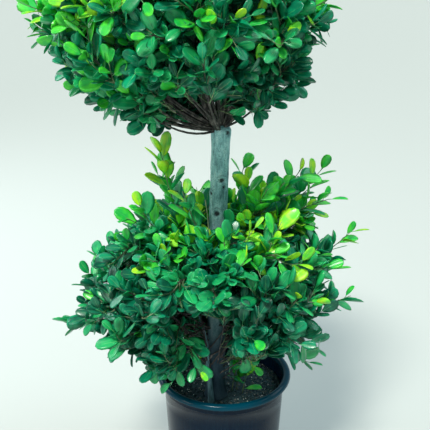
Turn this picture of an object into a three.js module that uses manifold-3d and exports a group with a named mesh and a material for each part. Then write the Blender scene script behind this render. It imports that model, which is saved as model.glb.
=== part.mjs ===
// A small-leaved fig trained as a double-ball topiary, in a plain nursery pot, as an assembly of solids.
// Millimetres, +Z up. The origin is the centre of the pot's flat underside, and the front faces -Y.
import * as THREE from "three";
import { mergeVertices } from "three/addons/utils/BufferGeometryUtils.js";
import Module from "manifold-3d";

const wasm = await Module();
wasm.setup();

const CLEARANCE = 0.3; // between solids that touch on the real plant
const WELD = 1e-3; // corners nearer to each other than this are one
const SEED = 20;

// Pot: a seven-gallon container, filled to a little below its collar
const POT_HEIGHT = 300;
const RIM_RADIUS = 176; // over the rolled rim
const RIM_WIDTH = 20;
const RIM_DEPTH = 14;
const COLLAR_RADIUS = 163;
const COLLAR_DEPTH = 34; // from the top of the rim to the foot of the collar
const WALL_TOP_RADIUS = 158;
const BASE_RADIUS = 144;
const WALL = 4;
const FOOT_ROUND = 7;
const POT_FACETS = 32;
const SOIL_TOP = 255;

// Trunk: nearly straight, from its flat foot on the soil to the pollard head that the upper boughs leave
const TRUNK_FOOT = new THREE.Vector3(-21, -50, SOIL_TOP + CLEARANCE);
const TRUNK_WAIST = new THREE.Vector3(-17, -40, 700);
const TRUNK_HEAD = new THREE.Vector3(-9, -35, 968);
const TRUNK_FOOT_RADIUS = 23.5;
const TRUNK_TOP_RADIUS = 21;
const FLARE = 8; // added to the radius by the root flare at the foot
const FLARE_HEIGHT = 22;
const FLARE_LOBES = 4;
const HEAD_SWELL = 3;
const HEAD_HEIGHT = 30; // the swollen stretch at the top
const HEAD_DOME = 16; // the rounded end of that stretch
const TRUNK_SIDES = 16;
const TRUNK_STEPS = 16;
const TRUNK_TRIM = 10; // grown past the foot, and cut off flat

// Boughs, each to its own mass of foliage
const BOUGH_RADIUS = 6.5;
const BOUGH_TIP_RADIUS = 3.8;
const BOUGH_SIDES = 5;
const BOUGH_STEPS = 4;
const BOUGH_STOP = 6; // from the tip of a bough to the core of its mass
const BOUGH_SEARCH = 0.01; // of the way from the trunk to the heart of the mass

// Masses of foliage
const HEART = 0.45; // share of the crown's reach at which a mass has its heart
const SPACE_GAP = 1.2; // between the spaces of two masses
const CORE_SHARE = 0.66; // share of the crown's reach that the cores fill
const CORE_MOST = 150;
const CORE_LEAST = 12;
const CORE_STEP = 4;
const CORE_GAP = 3; // from a core to the edge of its mass's space
const CORE_HOLLOW = 62; // from a core to the trunk's axis
const CORE_DENT = 0.9; // the deepest dents in a core, as a share of its reach
const SLIVER = 0.2; // edges shorter than this, or a few times this, are closed up in the fused masses
const BARE_BELOW = POT_HEIGHT + 6;

// Twigs, which have three sides
const TWIG_RADIUS = 2.4;
const TWIG_TIP_RADIUS = 1.2;
const TWIG_LEAST = 8; // shortest length of a twig outside its core
const TWIG_START = 0.15; // share of the way from the heart to the tip
const TWIG_CHECKS = [0, 0.35, 0.7, 1]; // shares of a twig's length that must lie in its mass's space
const TWIG_TARGETS = 92; // directions over the whole ball that twigs are sent in
const RAGGED = [0.93, 1.02]; // how far twigs stop short of the crown's reach, or pass it

// Leaves: larger than life, since each stands for a tuft of real leaves 50 long
const LEAF_LENGTH = 80;
const LEAF_WIDTH = 52;
const LEAF_WIDEST = 0.58; // share of the length
const LEAF_THICKNESS = 1.4;
const LEAF_CUP = 5; // how far the sides rise above the midrib
const LEAF_DROOP = 6; // how far the tip falls
const LEAF_SPLAY = [0.8, 1.2]; // radians between twig and leaf
const TIP_SPLAY = [0.4, 0.5]; // the same at the end of a twig
const LEAF_TURN = 2.4; // radians round the twig from one leaf to the next
const LEAF_STEP = 16; // along the twig from one leaf to the next
const LEAF_INSET = 1.5; // from the end of the twig to its last leaf
const LEAVES_PER_TWIG = 3;
const LEAF_TRIES = 9;
const LEAF_SIZES = [1.1, 0.72]; // times the leaf's length and width, at the first try and at the last
const LEAF_OVERHANG = 0.92; // share of a leaf that reaches past its twig's tip
const LEAF_MOST = 1.03; // times the crown's reach, or the shoot's, that no leaf's corner passes

const degrees = THREE.MathUtils.degToRad;
const { lerp, clamp, mapLinear } = THREE.MathUtils;
const GOLDEN_ANGLE = Math.PI * (3 - Math.sqrt(5));

// Direction from a turn about +Z, counted from +X, and a rise above the horizon, both in degrees
function heading(turn, rise) {
  const flat = Math.cos(degrees(rise));
  return new THREE.Vector3(
    flat * Math.cos(degrees(turn)),
    flat * Math.sin(degrees(turn)),
    Math.sin(degrees(rise)),
  );
}

// Each crown is a flattened ball with bulges. Its masses stand in tiers, and its shoots reach past the ball.
// An arch under its front is bare, so that the boughs show: a band about archX, below archCrest at the
// trunk, with a ceiling that rises towards the front.
const LOWER_CROWN = {
  name: "lower",
  centre: new THREE.Vector3(-36, -35, 566),
  radius: 338,
  halfHeight: 216,
  archX: -24,
  archHalfWidth: 44,
  archCrest: 440,
  archSlope: 0.5,
  bulges: [
    { way: heading(0, 38), swell: 0.36, spread: degrees(40) },
    { way: heading(185, -18), swell: 0.08, spread: degrees(35) },
    { way: heading(300, -35), swell: 0.08, spread: degrees(35) },
  ],
  shoots: [
    { way: heading(180, 71), reach: 390 },
    { way: heading(212, 52), reach: 330 },
    { way: heading(325, 62), reach: 350 },
    { way: heading(350, 55), reach: 415 },
    { way: heading(5, 47), reach: 430 },
    { way: heading(4, 20), reach: 395 },
    { way: heading(188, -14), reach: 380 },
    { way: heading(335, -40), reach: 330 },
    { way: heading(80, 58), reach: 350 },
    { way: heading(130, 48), reach: 345 },
  ],
  tiers: [
    { masses: 5, turn: 234, rise: -12, lift: 0.1 },
    { masses: 3, turn: 276, rise: 46, lift: 0.05 },
  ],
  boughFrom: 310,
  boughRise: 30,
};
const UPPER_CROWN = {
  name: "upper",
  centre: new THREE.Vector3(-84, -35, 1222),
  radius: 332,
  halfHeight: 254,
  archX: -61,
  archHalfWidth: 76,
  archCrest: 1008,
  archSlope: 0.19,
  bulges: [
    { way: heading(180, 5), swell: 0.05, spread: degrees(30) },
    { way: heading(325, -42), swell: 0.07, spread: degrees(30) },
  ],
  shoots: [
    { way: heading(184, 14), reach: 360 },
    { way: heading(2, 20), reach: 345 },
    { way: heading(60, 62), reach: 300 },
    { way: heading(250, 66), reach: 295 },
  ],
  tiers: [
    { masses: 5, turn: 198, rise: -16, lift: -0.32 },
    { masses: 3, turn: 240, rise: 36, lift: -0.16 },
    { masses: 1, turn: 0, rise: 86, lift: 0 },
  ],
  boughFrom: TRUNK_HEAD.z - 14,
  boughRise: 1.2,
};

const barkGrey = { color: 0x8f9a8c, roughness: 0.85, metalness: 0 };
const boughBrown = { color: 0x4f463d, roughness: 0.9, metalness: 0 };
const leafGreen = { color: 0x1b6b3a, roughness: 0.4, metalness: 0 };
const potBlack = { color: 0x1c2a33, roughness: 0.45, metalness: 0 };
const soilBrown = { color: 0x2c241e, roughness: 1, metalness: 0 };

// Seeded random numbers from 0 to 1
function seeded(seed) {
  let state = seed;
  return () => {
    state = (state + 0x6d2b79f5) | 0;
    let mixed = Math.imul(state ^ (state >>> 15), 1 | state);
    mixed = (mixed + Math.imul(mixed ^ (mixed >>> 7), 61 | mixed)) ^ mixed;
    return ((mixed ^ (mixed >>> 14)) >>> 0) / 2 ** 32;
  };
}

function welded(geometry) {
  const bare = geometry.clone();
  bare.deleteAttribute("normal");
  bare.deleteAttribute("uv");
  return mergeVertices(bare, WELD);
}

function solidOf(geometry) {
  const merged = welded(geometry);
  return new wasm.Manifold(
    new wasm.Mesh({
      numProp: 3,
      vertProperties: merged.attributes.position.array,
      triVerts: new Uint32Array(merged.index.array),
    }),
  );
}

function geometryOf(solid) {
  const { vertProperties, triVerts } = solid.getMesh();
  const geometry = new THREE.BufferGeometry();
  geometry.setAttribute("position", new THREE.BufferAttribute(vertProperties, 3));
  geometry.setIndex(new THREE.BufferAttribute(triVerts, 1));
  const faceted = geometry.toNonIndexed();
  faceted.computeVertexNormals();
  return faceted;
}

function meshOf(name, solid, look) {
  const mesh = new THREE.Mesh(geometryOf(solid), new THREE.MeshStandardMaterial(look));
  mesh.name = name;
  return mesh;
}

function largestBody(solid) {
  return solid.decompose().reduce((best, body) => (body.volume() > best.volume() ? body : best));
}

// Whether no edge of a solid is shared by more than two faces
function hasPairedEdges(solid) {
  const { index } = welded(geometryOf(solid));
  const edges = Array.from({ length: index.count }, (_, i) =>
    [index.getX(i), index.getX(i % 3 === 2 ? i - 2 : i + 1)].join(),
  );
  return new Set(edges).size === edges.length;
}

function touches(a, b) {
  const [boxA, boxB] = [a.boundingBox(), b.boundingBox()];
  const apart = [0, 1, 2].some((i) => boxA.min[i] > boxB.max[i] || boxB.min[i] > boxA.max[i]);
  return !apart && !a.intersect(b).isEmpty();
}

function cornersOf(geometry) {
  const place = geometry.getAttribute("position");
  return Array.from({ length: place.count }, (_, i) => new THREE.Vector3().fromBufferAttribute(place, i));
}

// A capped tapering limb along a curve. radiusAt takes the share of the way along it and the angle round it,
// and shareAt spaces its rings.
function limb(curve, radiusAt, sides, steps, shareAt = (part) => part) {
  const shape = new THREE.CylinderGeometry(1, 1, 1, sides, steps);
  const frames = curve.computeFrenetFrames(steps, false);
  const place = shape.getAttribute("position");
  for (let i = 0; i < place.count; i++) {
    const step = Math.round((place.getY(i) + 0.5) * steps);
    const share = shareAt(step / steps);
    const radius = radiusAt(share, Math.atan2(place.getZ(i), place.getX(i)));
    const at = curve
      .getPointAt(share)
      .addScaledVector(frames.normals[step], radius * place.getX(i))
      .addScaledVector(frames.binormals[step], -radius * place.getZ(i));
    place.setXYZ(i, at.x, at.y, at.z);
  }
  return shape;
}

const taper = (from, to) => (share) => lerp(from, to, share);

// The stretch of a curve between two shares of its length
function stretch(curve, from, to, points = 4) {
  return new THREE.CatmullRomCurve3(
    Array.from({ length: points }, (_, i) => curve.getPointAt(lerp(from, to, i / (points - 1)))),
  );
}

// Pot and soil, from profiles of [radius, height] that turn about +Z
function turned(profile) {
  const points = profile.map(([radius, height]) => new THREE.Vector2(radius, height));
  return new THREE.LatheGeometry(points, POT_FACETS).rotateX(Math.PI / 2);
}

// Points of a profile's round from one angle to another, in degrees
function round(centreRadius, centreHeight, width, rise, from, to, steps) {
  return Array.from({ length: steps + 1 }, (_, i) => {
    const angle = degrees(lerp(from, to, i / steps));
    return [centreRadius + width * Math.cos(angle), centreHeight + rise * Math.sin(angle)];
  });
}

const wallRadiusAt = (height) =>
  mapLinear(height, 0, POT_HEIGHT - COLLAR_DEPTH, BASE_RADIUS, WALL_TOP_RADIUS);

function pot() {
  const collarFoot = POT_HEIGHT - COLLAR_DEPTH;
  const rimBottom = POT_HEIGHT - RIM_DEPTH;
  const rimHalf = RIM_WIDTH / 2;
  return solidOf(
    turned([
      [0, 0],
      ...round(BASE_RADIUS - FOOT_ROUND, FOOT_ROUND, FOOT_ROUND, FOOT_ROUND, -90, 0, 2),
      [WALL_TOP_RADIUS, collarFoot],
      [COLLAR_RADIUS, collarFoot],
      [COLLAR_RADIUS, rimBottom],
      [RIM_RADIUS - 1, rimBottom],
      ...round(RIM_RADIUS - rimHalf, rimBottom + WALL, rimHalf, RIM_DEPTH - WALL, 0, 180, 4),
      [wallRadiusAt(collarFoot) - WALL, collarFoot],
      [wallRadiusAt(WALL) - WALL, WALL],
      [0, WALL],
    ]),
  );
}

function pottingSoil() {
  const fit = WALL + CLEARANCE;
  return solidOf(
    turned([
      [0, fit],
      [wallRadiusAt(fit) - fit, fit],
      [wallRadiusAt(SOIL_TOP) - fit, SOIL_TOP],
      [0, SOIL_TOP],
    ]),
  );
}

const trunkLine = new THREE.CatmullRomCurve3([
  TRUNK_FOOT.clone().setZ(TRUNK_FOOT.z - TRUNK_TRIM),
  TRUNK_FOOT.clone().setZ(TRUNK_FOOT.z + 2 * FLARE_HEIGHT),
  TRUNK_WAIST,
  TRUNK_HEAD,
]);
const trunkLength = trunkLine.getLength();

// The trunk's radius, with the lobes of its root flare, its swollen head and the dome of that head
function trunkRadiusAt(share, angle) {
  const fromFoot = Math.max(share * trunkLength - TRUNK_TRIM, 0);
  const fromHead = (1 - share) * trunkLength;
  const lobes = 1 + 0.3 * Math.cos(FLARE_LOBES * angle);
  const flare = FLARE * lobes * Math.exp(-fromFoot / FLARE_HEIGHT);
  const swell = HEAD_SWELL * Math.exp(-(((fromHead - HEAD_HEIGHT / 2) / HEAD_HEIGHT) ** 2));
  const dome = Math.sqrt(1 - 0.7 * Math.max(1 - fromHead / HEAD_DOME, 0) ** 2);
  return dome * (lerp(TRUNK_FOOT_RADIUS, TRUNK_TOP_RADIUS, share) + flare + swell);
}

// The trunk, or a shape that stands a clearance off it
function trunk(clearance = 0) {
  const radiusAt = (share, angle) => trunkRadiusAt(share, angle) + clearance;
  const closerAtEnds = (part) => (1 - Math.cos(Math.PI * part)) / 2;
  const shape = limb(trunkLine, radiusAt, TRUNK_SIDES, TRUNK_STEPS, closerAtEnds);
  return solidOf(shape).trimByPlane([0, 0, 1], TRUNK_FOOT.z - clearance);
}

// How far a crown's foliage reaches from its centre along a direction
function crownReach(crown, way) {
  const ball = 1 / Math.hypot(way.x / crown.radius, way.y / crown.radius, way.z / crown.halfHeight);
  return crown.bulges.reduce(
    (reach, bulge) => reach * (1 + bulge.swell * Math.exp(-((way.angleTo(bulge.way) / bulge.spread) ** 2))),
    ball,
  );
}

// Whether a point lies within a share of a crown's reach, and out of its bare arch
function crownHolds(crown, point, share) {
  const forward = TRUNK_HEAD.y - point.y;
  const ceiling = crown.archCrest + crown.archSlope * forward;
  const underArch = forward > 0 && Math.abs(point.x - crown.archX) < crown.archHalfWidth;
  const offset = point.clone().sub(crown.centre);
  const distance = offset.length();
  return !(underArch && point.z < ceiling) && distance < share * crownReach(crown, offset.normalize());
}

// The hearts of a crown's masses, tier by tier, each with the lift of its bough
function heartsOf(crown) {
  return crown.tiers.flatMap(({ masses, turn, rise, lift }) =>
    Array.from({ length: masses }, (_, i) => {
      const way = heading(turn + (360 * i) / masses, rise);
      return { at: crown.centre.clone().addScaledVector(way, HEART * crownReach(crown, way)), lift };
    }),
  );
}

// Directions spread evenly over the sphere, and those of the shoots, with their shares of the crown's reach
function twigTargets(crown) {
  const random = seeded(SEED);
  const even = Array.from({ length: TWIG_TARGETS }, (_, i) => {
    const rise = Math.asin(1 - (2 * (i + 0.5)) / TWIG_TARGETS);
    const way = heading(THREE.MathUtils.radToDeg(i * GOLDEN_ANGLE), THREE.MathUtils.radToDeg(rise));
    return { way, share: lerp(...RAGGED, random()) };
  });
  const shoots = crown.shoots.map(({ way, reach }) => ({ way, share: reach / crownReach(crown, way) }));
  return [...even, ...shoots];
}

// A leaf is a thin solid of eight faces, widest past its middle, with its sides raised above its midrib
function leafAt(root, along, face, size) {
  const leaf = new THREE.OctahedronGeometry(1, 0);
  const place = leaf.getAttribute("position");
  const across = face.clone().cross(along).normalize();
  const up = along.clone().cross(across).normalize();
  for (let i = 0; i < place.count; i++) {
    const [x, y, z] = [place.getX(i), place.getY(i), place.getZ(i)];
    const onward = Math.abs(x) > 0.5 ? (x + 1) / 2 : LEAF_WIDEST;
    const lift = LEAF_CUP * Math.abs(y) - (x > 0.5 ? LEAF_DROOP : 0) + (LEAF_THICKNESS / 2) * z;
    const at = root
      .clone()
      .addScaledVector(along, size * LEAF_LENGTH * onward)
      .addScaledVector(across, (size * LEAF_WIDTH * y) / 2)
      .addScaledVector(up, size * lift);
    place.setXYZ(i, at.x, at.y, at.z);
  }
  return leaf;
}

// One mass: a stem on from its bough's tip, a core, and leafy twigs that stand out of the core
class Mass {
  constructor(crown, order, hearts) {
    Object.assign(this, { crown, order, lift: hearts[order].lift, heart: hearts[order].at });
    this.others = hearts.filter((_, i) => i !== order).map(({ at }) => at);
    this.random = seeded(SEED + order + crown.centre.z);
    this.twigs = [];
    this.leaves = [];
  }

  // Whether a point lies in this mass's own space, clear of its neighbours'
  holds(point) {
    const own = point.distanceTo(this.heart) + SPACE_GAP;
    return point.z > BARE_BELOW && this.others.every((heart) => point.distanceTo(heart) > own);
  }

  // How far the core's skin stands from the heart, along a direction
  coreReach(way) {
    let reach = 0;
    while (reach < CORE_MOST) {
      const next = this.heart.clone().addScaledVector(way, reach + CORE_STEP + CORE_GAP);
      const fromTrunk = Math.hypot(next.x - TRUNK_WAIST.x, next.y - TRUNK_WAIST.y);
      const inHollow = next.z < TRUNK_HEAD.z && fromTrunk < CORE_HOLLOW;
      if (inHollow || !this.holds(next) || !crownHolds(this.crown, next, CORE_SHARE)) {
        break;
      }
      reach += CORE_STEP;
    }
    return Math.max(reach, CORE_LEAST);
  }

  // The way from the trunk to the heart: first the bough, up to a little short of the core, then the stem
  findPath() {
    const height = this.crown.boughFrom + this.crown.boughRise * this.order;
    const share = clamp(mapLinear(height, TRUNK_FOOT.z, TRUNK_HEAD.z, 0, 1), 0, 1);
    const start = trunkLine.getPointAt(share).setZ(height);
    const middle = start.clone().lerp(this.heart, 0.5);
    middle.z += this.lift * start.distanceTo(this.heart);
    this.path = new THREE.QuadraticBezierCurve3(start, middle, this.heart);
    this.boughShare = 1;
    let clear = 0;
    while (clear < BOUGH_STOP) {
      this.boughShare -= BOUGH_SEARCH;
      const out = this.path.getPointAt(this.boughShare).sub(this.heart);
      clear = out.length() - this.coreReach(out.normalize());
    }
    this.bough = stretch(this.path, 0, this.boughShare);
  }

  // The core fills the heart of the mass's space. It is cut clear of the trunk and of every bough.
  core() {
    const shape = new THREE.IcosahedronGeometry(1, 1);
    const reaches = new Map();
    const place = shape.getAttribute("position");
    cornersOf(shape).forEach((way, i) => {
      const key = way.toArray().map((number) => number.toFixed(3)).join();
      if (!reaches.has(key)) {
        reaches.set(key, this.coreReach(way) * lerp(CORE_DENT, 1, this.random()));
      }
      const at = this.heart.clone().addScaledVector(way, reaches.get(key));
      place.setXYZ(i, at.x, at.y, at.z);
    });
    return largestBody(solidOf(shape).subtract(wasm.Manifold.union(this.limbs)));
  }

  stem() {
    const from = this.boughShare + CLEARANCE / this.path.getLength();
    const radiusAt = taper(BOUGH_TIP_RADIUS, TWIG_RADIUS);
    return solidOf(limb(stretch(this.path, from, 1), radiusAt, BOUGH_SIDES, 1));
  }

  // A twig grows out from the heart to its place in the crown's skin
  addTwig({ way, share }) {
    const reach = share * crownReach(this.crown, way) - LEAF_OVERHANG * LEAF_LENGTH;
    const tip = this.crown.centre.clone().addScaledVector(way, reach);
    const out = tip.clone().sub(this.heart);
    const bare = out.length() - this.coreReach(out.clone().normalize());
    const line = new THREE.LineCurve3(this.heart.clone().addScaledVector(out, TWIG_START), tip);
    const solid = solidOf(limb(line, taper(TWIG_RADIUS, TWIG_TIP_RADIUS), 3, 1));
    const inside = TWIG_CHECKS.map((part) => line.getPointAt(part)).every(
      (point) => this.holds(point) && crownHolds(this.crown, point, share),
    );
    if (bare > TWIG_LEAST && inside && !this.limbs.some((other) => touches(solid, other))) {
      const most = LEAF_MOST * Math.max(share, 1);
      this.twigs.push({ line, solid, bare, most, first: this.random() * Math.PI * 2 });
    }
  }

  // Leaves stand round the twigs in spirals: first the leaf at each tip, and then those further back
  addLeaves() {
    for (let order = 0; order < LEAVES_PER_TWIG; order++) {
      const fromTip = LEAF_INSET + order * LEAF_STEP;
      this.twigs
        .filter(({ bare }) => fromTip < bare)
        .forEach((twig) => this.addLeaf(twig, 1 - fromTip / twig.line.getLength(), order));
    }
  }

  // A leaf turns round its twig, and shrinks, until it leaves the space nowhere and touches nothing else.
  // One that can't is left out.
  addLeaf(twig, share, order) {
    const ahead = twig.line.getTangentAt(share);
    const root = twig.line.getPointAt(share);
    const level = new THREE.Vector3(0, 0, 1).cross(ahead).normalize();
    const others = this.twigs.filter((other) => other !== twig).map(({ solid }) => solid);
    const blocks = [...this.body, ...this.limbs, ...others, ...this.leaves];
    for (let turn = 0; turn < LEAF_TRIES; turn++) {
      const side = level.clone().applyAxisAngle(ahead, twig.first + (order + turn) * LEAF_TURN);
      const splay = lerp(...(order === 0 ? TIP_SPLAY : LEAF_SPLAY), this.random());
      const along = ahead.clone().multiplyScalar(Math.cos(splay)).addScaledVector(side, Math.sin(splay));
      const face = ahead.clone().multiplyScalar(Math.sin(splay)).addScaledVector(side, -Math.cos(splay));
      const shape = leafAt(root, along, face, lerp(...LEAF_SIZES, turn / (LEAF_TRIES - 1)));
      const inside = cornersOf(shape).every(
        (corner) => this.holds(corner) && crownHolds(this.crown, corner, twig.most),
      );
      const leaf = solidOf(shape);
      if (inside && !blocks.some((block) => touches(leaf, block))) {
        this.leaves.push(leaf);
        return;
      }
    }
  }

  // The fused mass. Only its outer skin is kept, so loose scraps are dropped and sealed hollows are filled.
  skin(parts) {
    const whole = wasm.Manifold.union(parts);
    for (let sliver = SLIVER; ; sliver += SLIVER) {
      const outer = largestBody(whole.simplify(sliver));
      const skin = largestBody(solidOf(geometryOf(outer)));
      if (hasPairedEdges(skin)) {
        return skin;
      }
    }
  }

  grow(limbs) {
    this.limbs = limbs;
    this.body = [this.core(), this.stem()];
    twigTargets(this.crown).forEach((target) => this.addTwig(target));
    this.addLeaves();
    return this.skin([...this.body, ...this.twigs.map(({ solid }) => solid), ...this.leaves]);
  }
}

const group = new THREE.Group();
group.add(meshOf("pot", pot(), potBlack));
group.add(meshOf("potting_soil", pottingSoil(), soilBrown));
group.add(meshOf("trunk", trunk(), barkGrey));

for (const crown of [LOWER_CROWN, UPPER_CROWN]) {
  const hearts = heartsOf(crown);
  const masses = hearts.map((_, order) => new Mass(crown, order, hearts));
  const limbs = [trunk(CLEARANCE)];
  for (const mass of masses) {
    mass.findPath();
    const boughShape = (extra) =>
      limb(mass.bough, taper(BOUGH_RADIUS + extra, BOUGH_TIP_RADIUS + extra), BOUGH_SIDES, BOUGH_STEPS);
    const bough = largestBody(solidOf(boughShape(0)).subtract(wasm.Manifold.union(limbs)));
    group.add(meshOf(`${crown.name}_bough_${mass.order + 1}`, bough, boughBrown));
    limbs.push(solidOf(boughShape(CLEARANCE)));
  }
  for (const mass of masses) {
    group.add(meshOf(`${crown.name}_foliage_${mass.order + 1}`, mass.grow(limbs), leafGreen));
  }
}

export default group;
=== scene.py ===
"""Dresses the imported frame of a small-leaved fig, trained as a double-ball topiary in a nursery pot.

Sizes in the classes are millimetres, +Z up, in the frame's own axes: the origin is the centre of the
pot's flat underside, and the front faces -Y. Meshes are made in metres.
"""

import logging
import math
from collections.abc import Callable, Sequence
from dataclasses import dataclass
from enum import Enum
from functools import partial
from typing import NamedTuple

import bmesh
import bpy
import numpy as np
from mathutils import Matrix, Vector, noise

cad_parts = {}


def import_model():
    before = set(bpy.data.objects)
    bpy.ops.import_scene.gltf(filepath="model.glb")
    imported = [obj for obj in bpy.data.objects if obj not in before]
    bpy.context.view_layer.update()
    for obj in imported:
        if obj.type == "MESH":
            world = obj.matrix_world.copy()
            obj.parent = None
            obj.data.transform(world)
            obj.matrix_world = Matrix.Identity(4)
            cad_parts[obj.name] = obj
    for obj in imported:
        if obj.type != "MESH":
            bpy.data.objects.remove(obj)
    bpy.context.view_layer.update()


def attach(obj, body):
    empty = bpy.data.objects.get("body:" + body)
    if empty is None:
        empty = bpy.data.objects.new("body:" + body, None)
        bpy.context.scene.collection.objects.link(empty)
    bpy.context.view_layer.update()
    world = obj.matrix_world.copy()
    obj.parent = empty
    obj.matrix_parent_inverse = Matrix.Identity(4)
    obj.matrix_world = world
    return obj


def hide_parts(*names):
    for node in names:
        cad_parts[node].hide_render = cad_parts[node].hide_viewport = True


log = logging.getLogger("fig")

MM = 0.001
SEED = 20
GOLDEN_ANGLE = math.pi * (3 - math.sqrt(5))
BODY = "root"
SCAR = "scar"
UP = np.array([0.0, 0.0, 1.0])

# A colour mix has its sockets by number: share of the second colour, both colours, and the result
SHARE, FIRST, SECOND, MIXED = 0, 6, 7, 2

Rows = np.ndarray
Place = tuple[float, float, float]
Profile = list[tuple[float, float]]
Piece = bpy.types.Object
Shape = bmesh.types.BMesh
Tree = bpy.types.NodeTree
Socket = bpy.types.NodeSocket


class Slot(Enum):
    """The record's material slots."""

    PLASTIC = "pot_plastic"
    SOIL = "potting_mix"
    TRUNK = "trunk_bark"
    BOUGH = "bough_bark"
    FOLIAGE = "foliage"


# ---- Small tools -------------------------------------------------------------------------------


def linear(hex_colour: str) -> tuple[float, ...]:
    """Return the linear red, green and blue of an sRGB hex colour, and an alpha of one."""
    parts = [int(hex_colour[i : i + 2], 16) / 255 for i in (1, 3, 5)]
    return (*[part / 12.92 if part <= 0.04045 else ((part + 0.055) / 1.055) ** 2.4 for part in parts], 1.0)


def unit(rows: Rows) -> Rows:
    """Scale each row to a length of one."""
    return rows / np.maximum(np.linalg.norm(rows, axis=-1, keepdims=True), 1e-9)


def heading(turn: float, rise: float) -> Rows:
    """Return the direction at a turn about +Z from +X and a rise above the horizon, in degrees."""
    turn, rise = math.radians(turn), math.radians(rise)
    return np.array([math.cos(rise) * math.cos(turn), math.cos(rise) * math.sin(turn), math.sin(rise)])


def even_ways(count: int, offset: float) -> Rows:
    """Spread directions evenly over the sphere.

    Args:
        count: How many directions.
        offset: Radians that the whole set is turned by.

    Returns:
        One direction a row.
    """
    order = np.arange(count)
    rise = np.arcsin(1 - 2 * (order + 0.5) / count)
    turn = order * GOLDEN_ANGLE + offset
    return np.stack([np.cos(rise) * np.cos(turn), np.cos(rise) * np.sin(turn), np.sin(rise)], axis=1)


class Path:
    """A line through space, in millimetres, read by its share of the length."""

    def __init__(self, points: Rows) -> None:
        """Keep the line's points and how far along it each lies.

        Args:
            points: The points, one a row.
        """
        self.points = points
        self.along = np.concatenate([[0.0], np.cumsum(np.linalg.norm(np.diff(points, axis=0), axis=1))])
        self.length = float(self.along[-1])

    def at(self, shares: Rows | float) -> Rows:
        """Return the points at shares of the length, one a row."""
        target = np.clip(np.atleast_1d(shares), 0, 1) * self.length
        return np.stack([np.interp(target, self.along, self.points[:, axis]) for axis in range(3)], axis=-1)

    def ahead(self, shares: Rows | float) -> Rows:
        """Return the line's direction at shares of the length, one a row."""
        shares = np.clip(np.atleast_1d(shares), 0.02, 0.98)
        return unit(self.at(shares + 0.02) - self.at(shares - 0.02))


def bowed(start: Rows, middle: Rows, end: Rows, count: int) -> Rows:
    """Return points, one a row, of a curve that leaves its start towards a middle and ends coming from it."""
    part = np.linspace(0, 1, count)[:, None]
    return (1 - part) ** 2 * start + 2 * part * (1 - part) * middle + part**2 * end


def smooth_through(knots: Rows, count: int) -> Rows:
    """Return points of a smooth curve through knots, which doesn't overshoot where they lie close.

    Args:
        knots: The points that the curve passes through, one a row.
        count: Points between two knots.

    Returns:
        The curve's points, one a row.
    """
    padded = np.vstack([2 * knots[0] - knots[1], knots, 2 * knots[-1] - knots[-2]])
    points = [knots[0]]
    for i in range(1, len(padded) - 2):
        before, here, there, beyond = padded[i - 1 : i + 3]
        gaps = [math.sqrt(np.linalg.norm(b - a)) for a, b in ((before, here), (here, there), (there, beyond))]
        leave = (here - before) / gaps[0] - (there - before) / (gaps[0] + gaps[1]) + (there - here) / gaps[1]
        arrive = (there - here) / gaps[1] - (beyond - here) / (gaps[1] + gaps[2]) + (beyond - there) / gaps[2]
        leave, arrive = leave * gaps[1], arrive * gaps[1]
        square = 3 * (there - here) - 2 * leave - arrive
        cube = leave + arrive - 2 * (there - here)
        for step in range(1, count + 1):
            t = step / count
            points.append(here + leave * t + square * t**2 + cube * t**3)
    return np.array(points)


def spun_about(vectors: Rows, axes: Rows, angles: Rows) -> Rows:
    """Turn vectors about axes.

    Args:
        vectors: The vectors, one a row.
        axes: The axis of each, of a length of one.
        angles: The angle of each, in radians.

    Returns:
        The turned vectors.
    """
    cosine, sine = np.cos(angles)[:, None], np.sin(angles)[:, None]
    dot = np.sum(vectors * axes, axis=1, keepdims=True)
    return vectors * cosine + np.cross(axes, vectors) * sine + axes * dot * (1 - cosine)


def nearest(places: Rows, wanted: Rows) -> int:
    """Return the number of the place, one a row, that lies nearest to a wanted one."""
    return int(np.argmin(np.linalg.norm(places - wanted, axis=1)))


def linked(name: str, data: bpy.types.ID) -> bpy.types.Object:
    """Make an object and put it in the scene.

    Args:
        name: Its name.
        data: Its mesh, lamp or camera.

    Returns:
        The object, at the origin.
    """
    item = bpy.data.objects.new(name, data)
    bpy.context.scene.collection.objects.link(item)
    return item


def smooth_piece(name: str, mesh: bpy.types.Mesh) -> Piece:
    """Make a smooth shaded object of a mesh that is in metres."""
    mesh.polygons.foreach_set("use_smooth", np.ones(len(mesh.polygons), dtype=bool))
    return linked(name, mesh)


def piece_from(name: str, shape: Shape) -> Piece:
    """Make a smooth shaded object of a bmesh, and free the bmesh.

    Args:
        name: The piece's name.
        shape: The bmesh, in metres.

    Returns:
        The object, at the origin.
    """
    mesh = bpy.data.meshes.new(name)
    shape.to_mesh(mesh)
    shape.free()
    return smooth_piece(name, mesh)


def joined_piece(name: str, corners: Rows, faces: list[Rows]) -> Piece:
    """Make one joined mesh object from arrays.

    Args:
        name: The piece's name.
        corners: Places in millimetres, one a row.
        faces: Arrays of corner numbers, each with as many columns as its faces have corners.

    Returns:
        The object, smooth shaded, at the origin.
    """
    mesh = bpy.data.meshes.new(name)
    sizes = np.concatenate([np.full(len(part), part.shape[1]) for part in faces])
    loops = np.concatenate([part.ravel() for part in faces]).astype(np.int32)
    mesh.vertices.add(len(corners))
    mesh.vertices.foreach_set("co", (corners * MM).astype(np.float32).ravel())
    mesh.loops.add(len(loops))
    mesh.loops.foreach_set("vertex_index", loops)
    mesh.polygons.add(len(sizes))
    mesh.polygons.foreach_set("loop_start", np.concatenate([[0], np.cumsum(sizes)[:-1]]).astype(np.int32))
    mesh.update(calc_edges=True)
    return smooth_piece(name, mesh)


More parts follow.
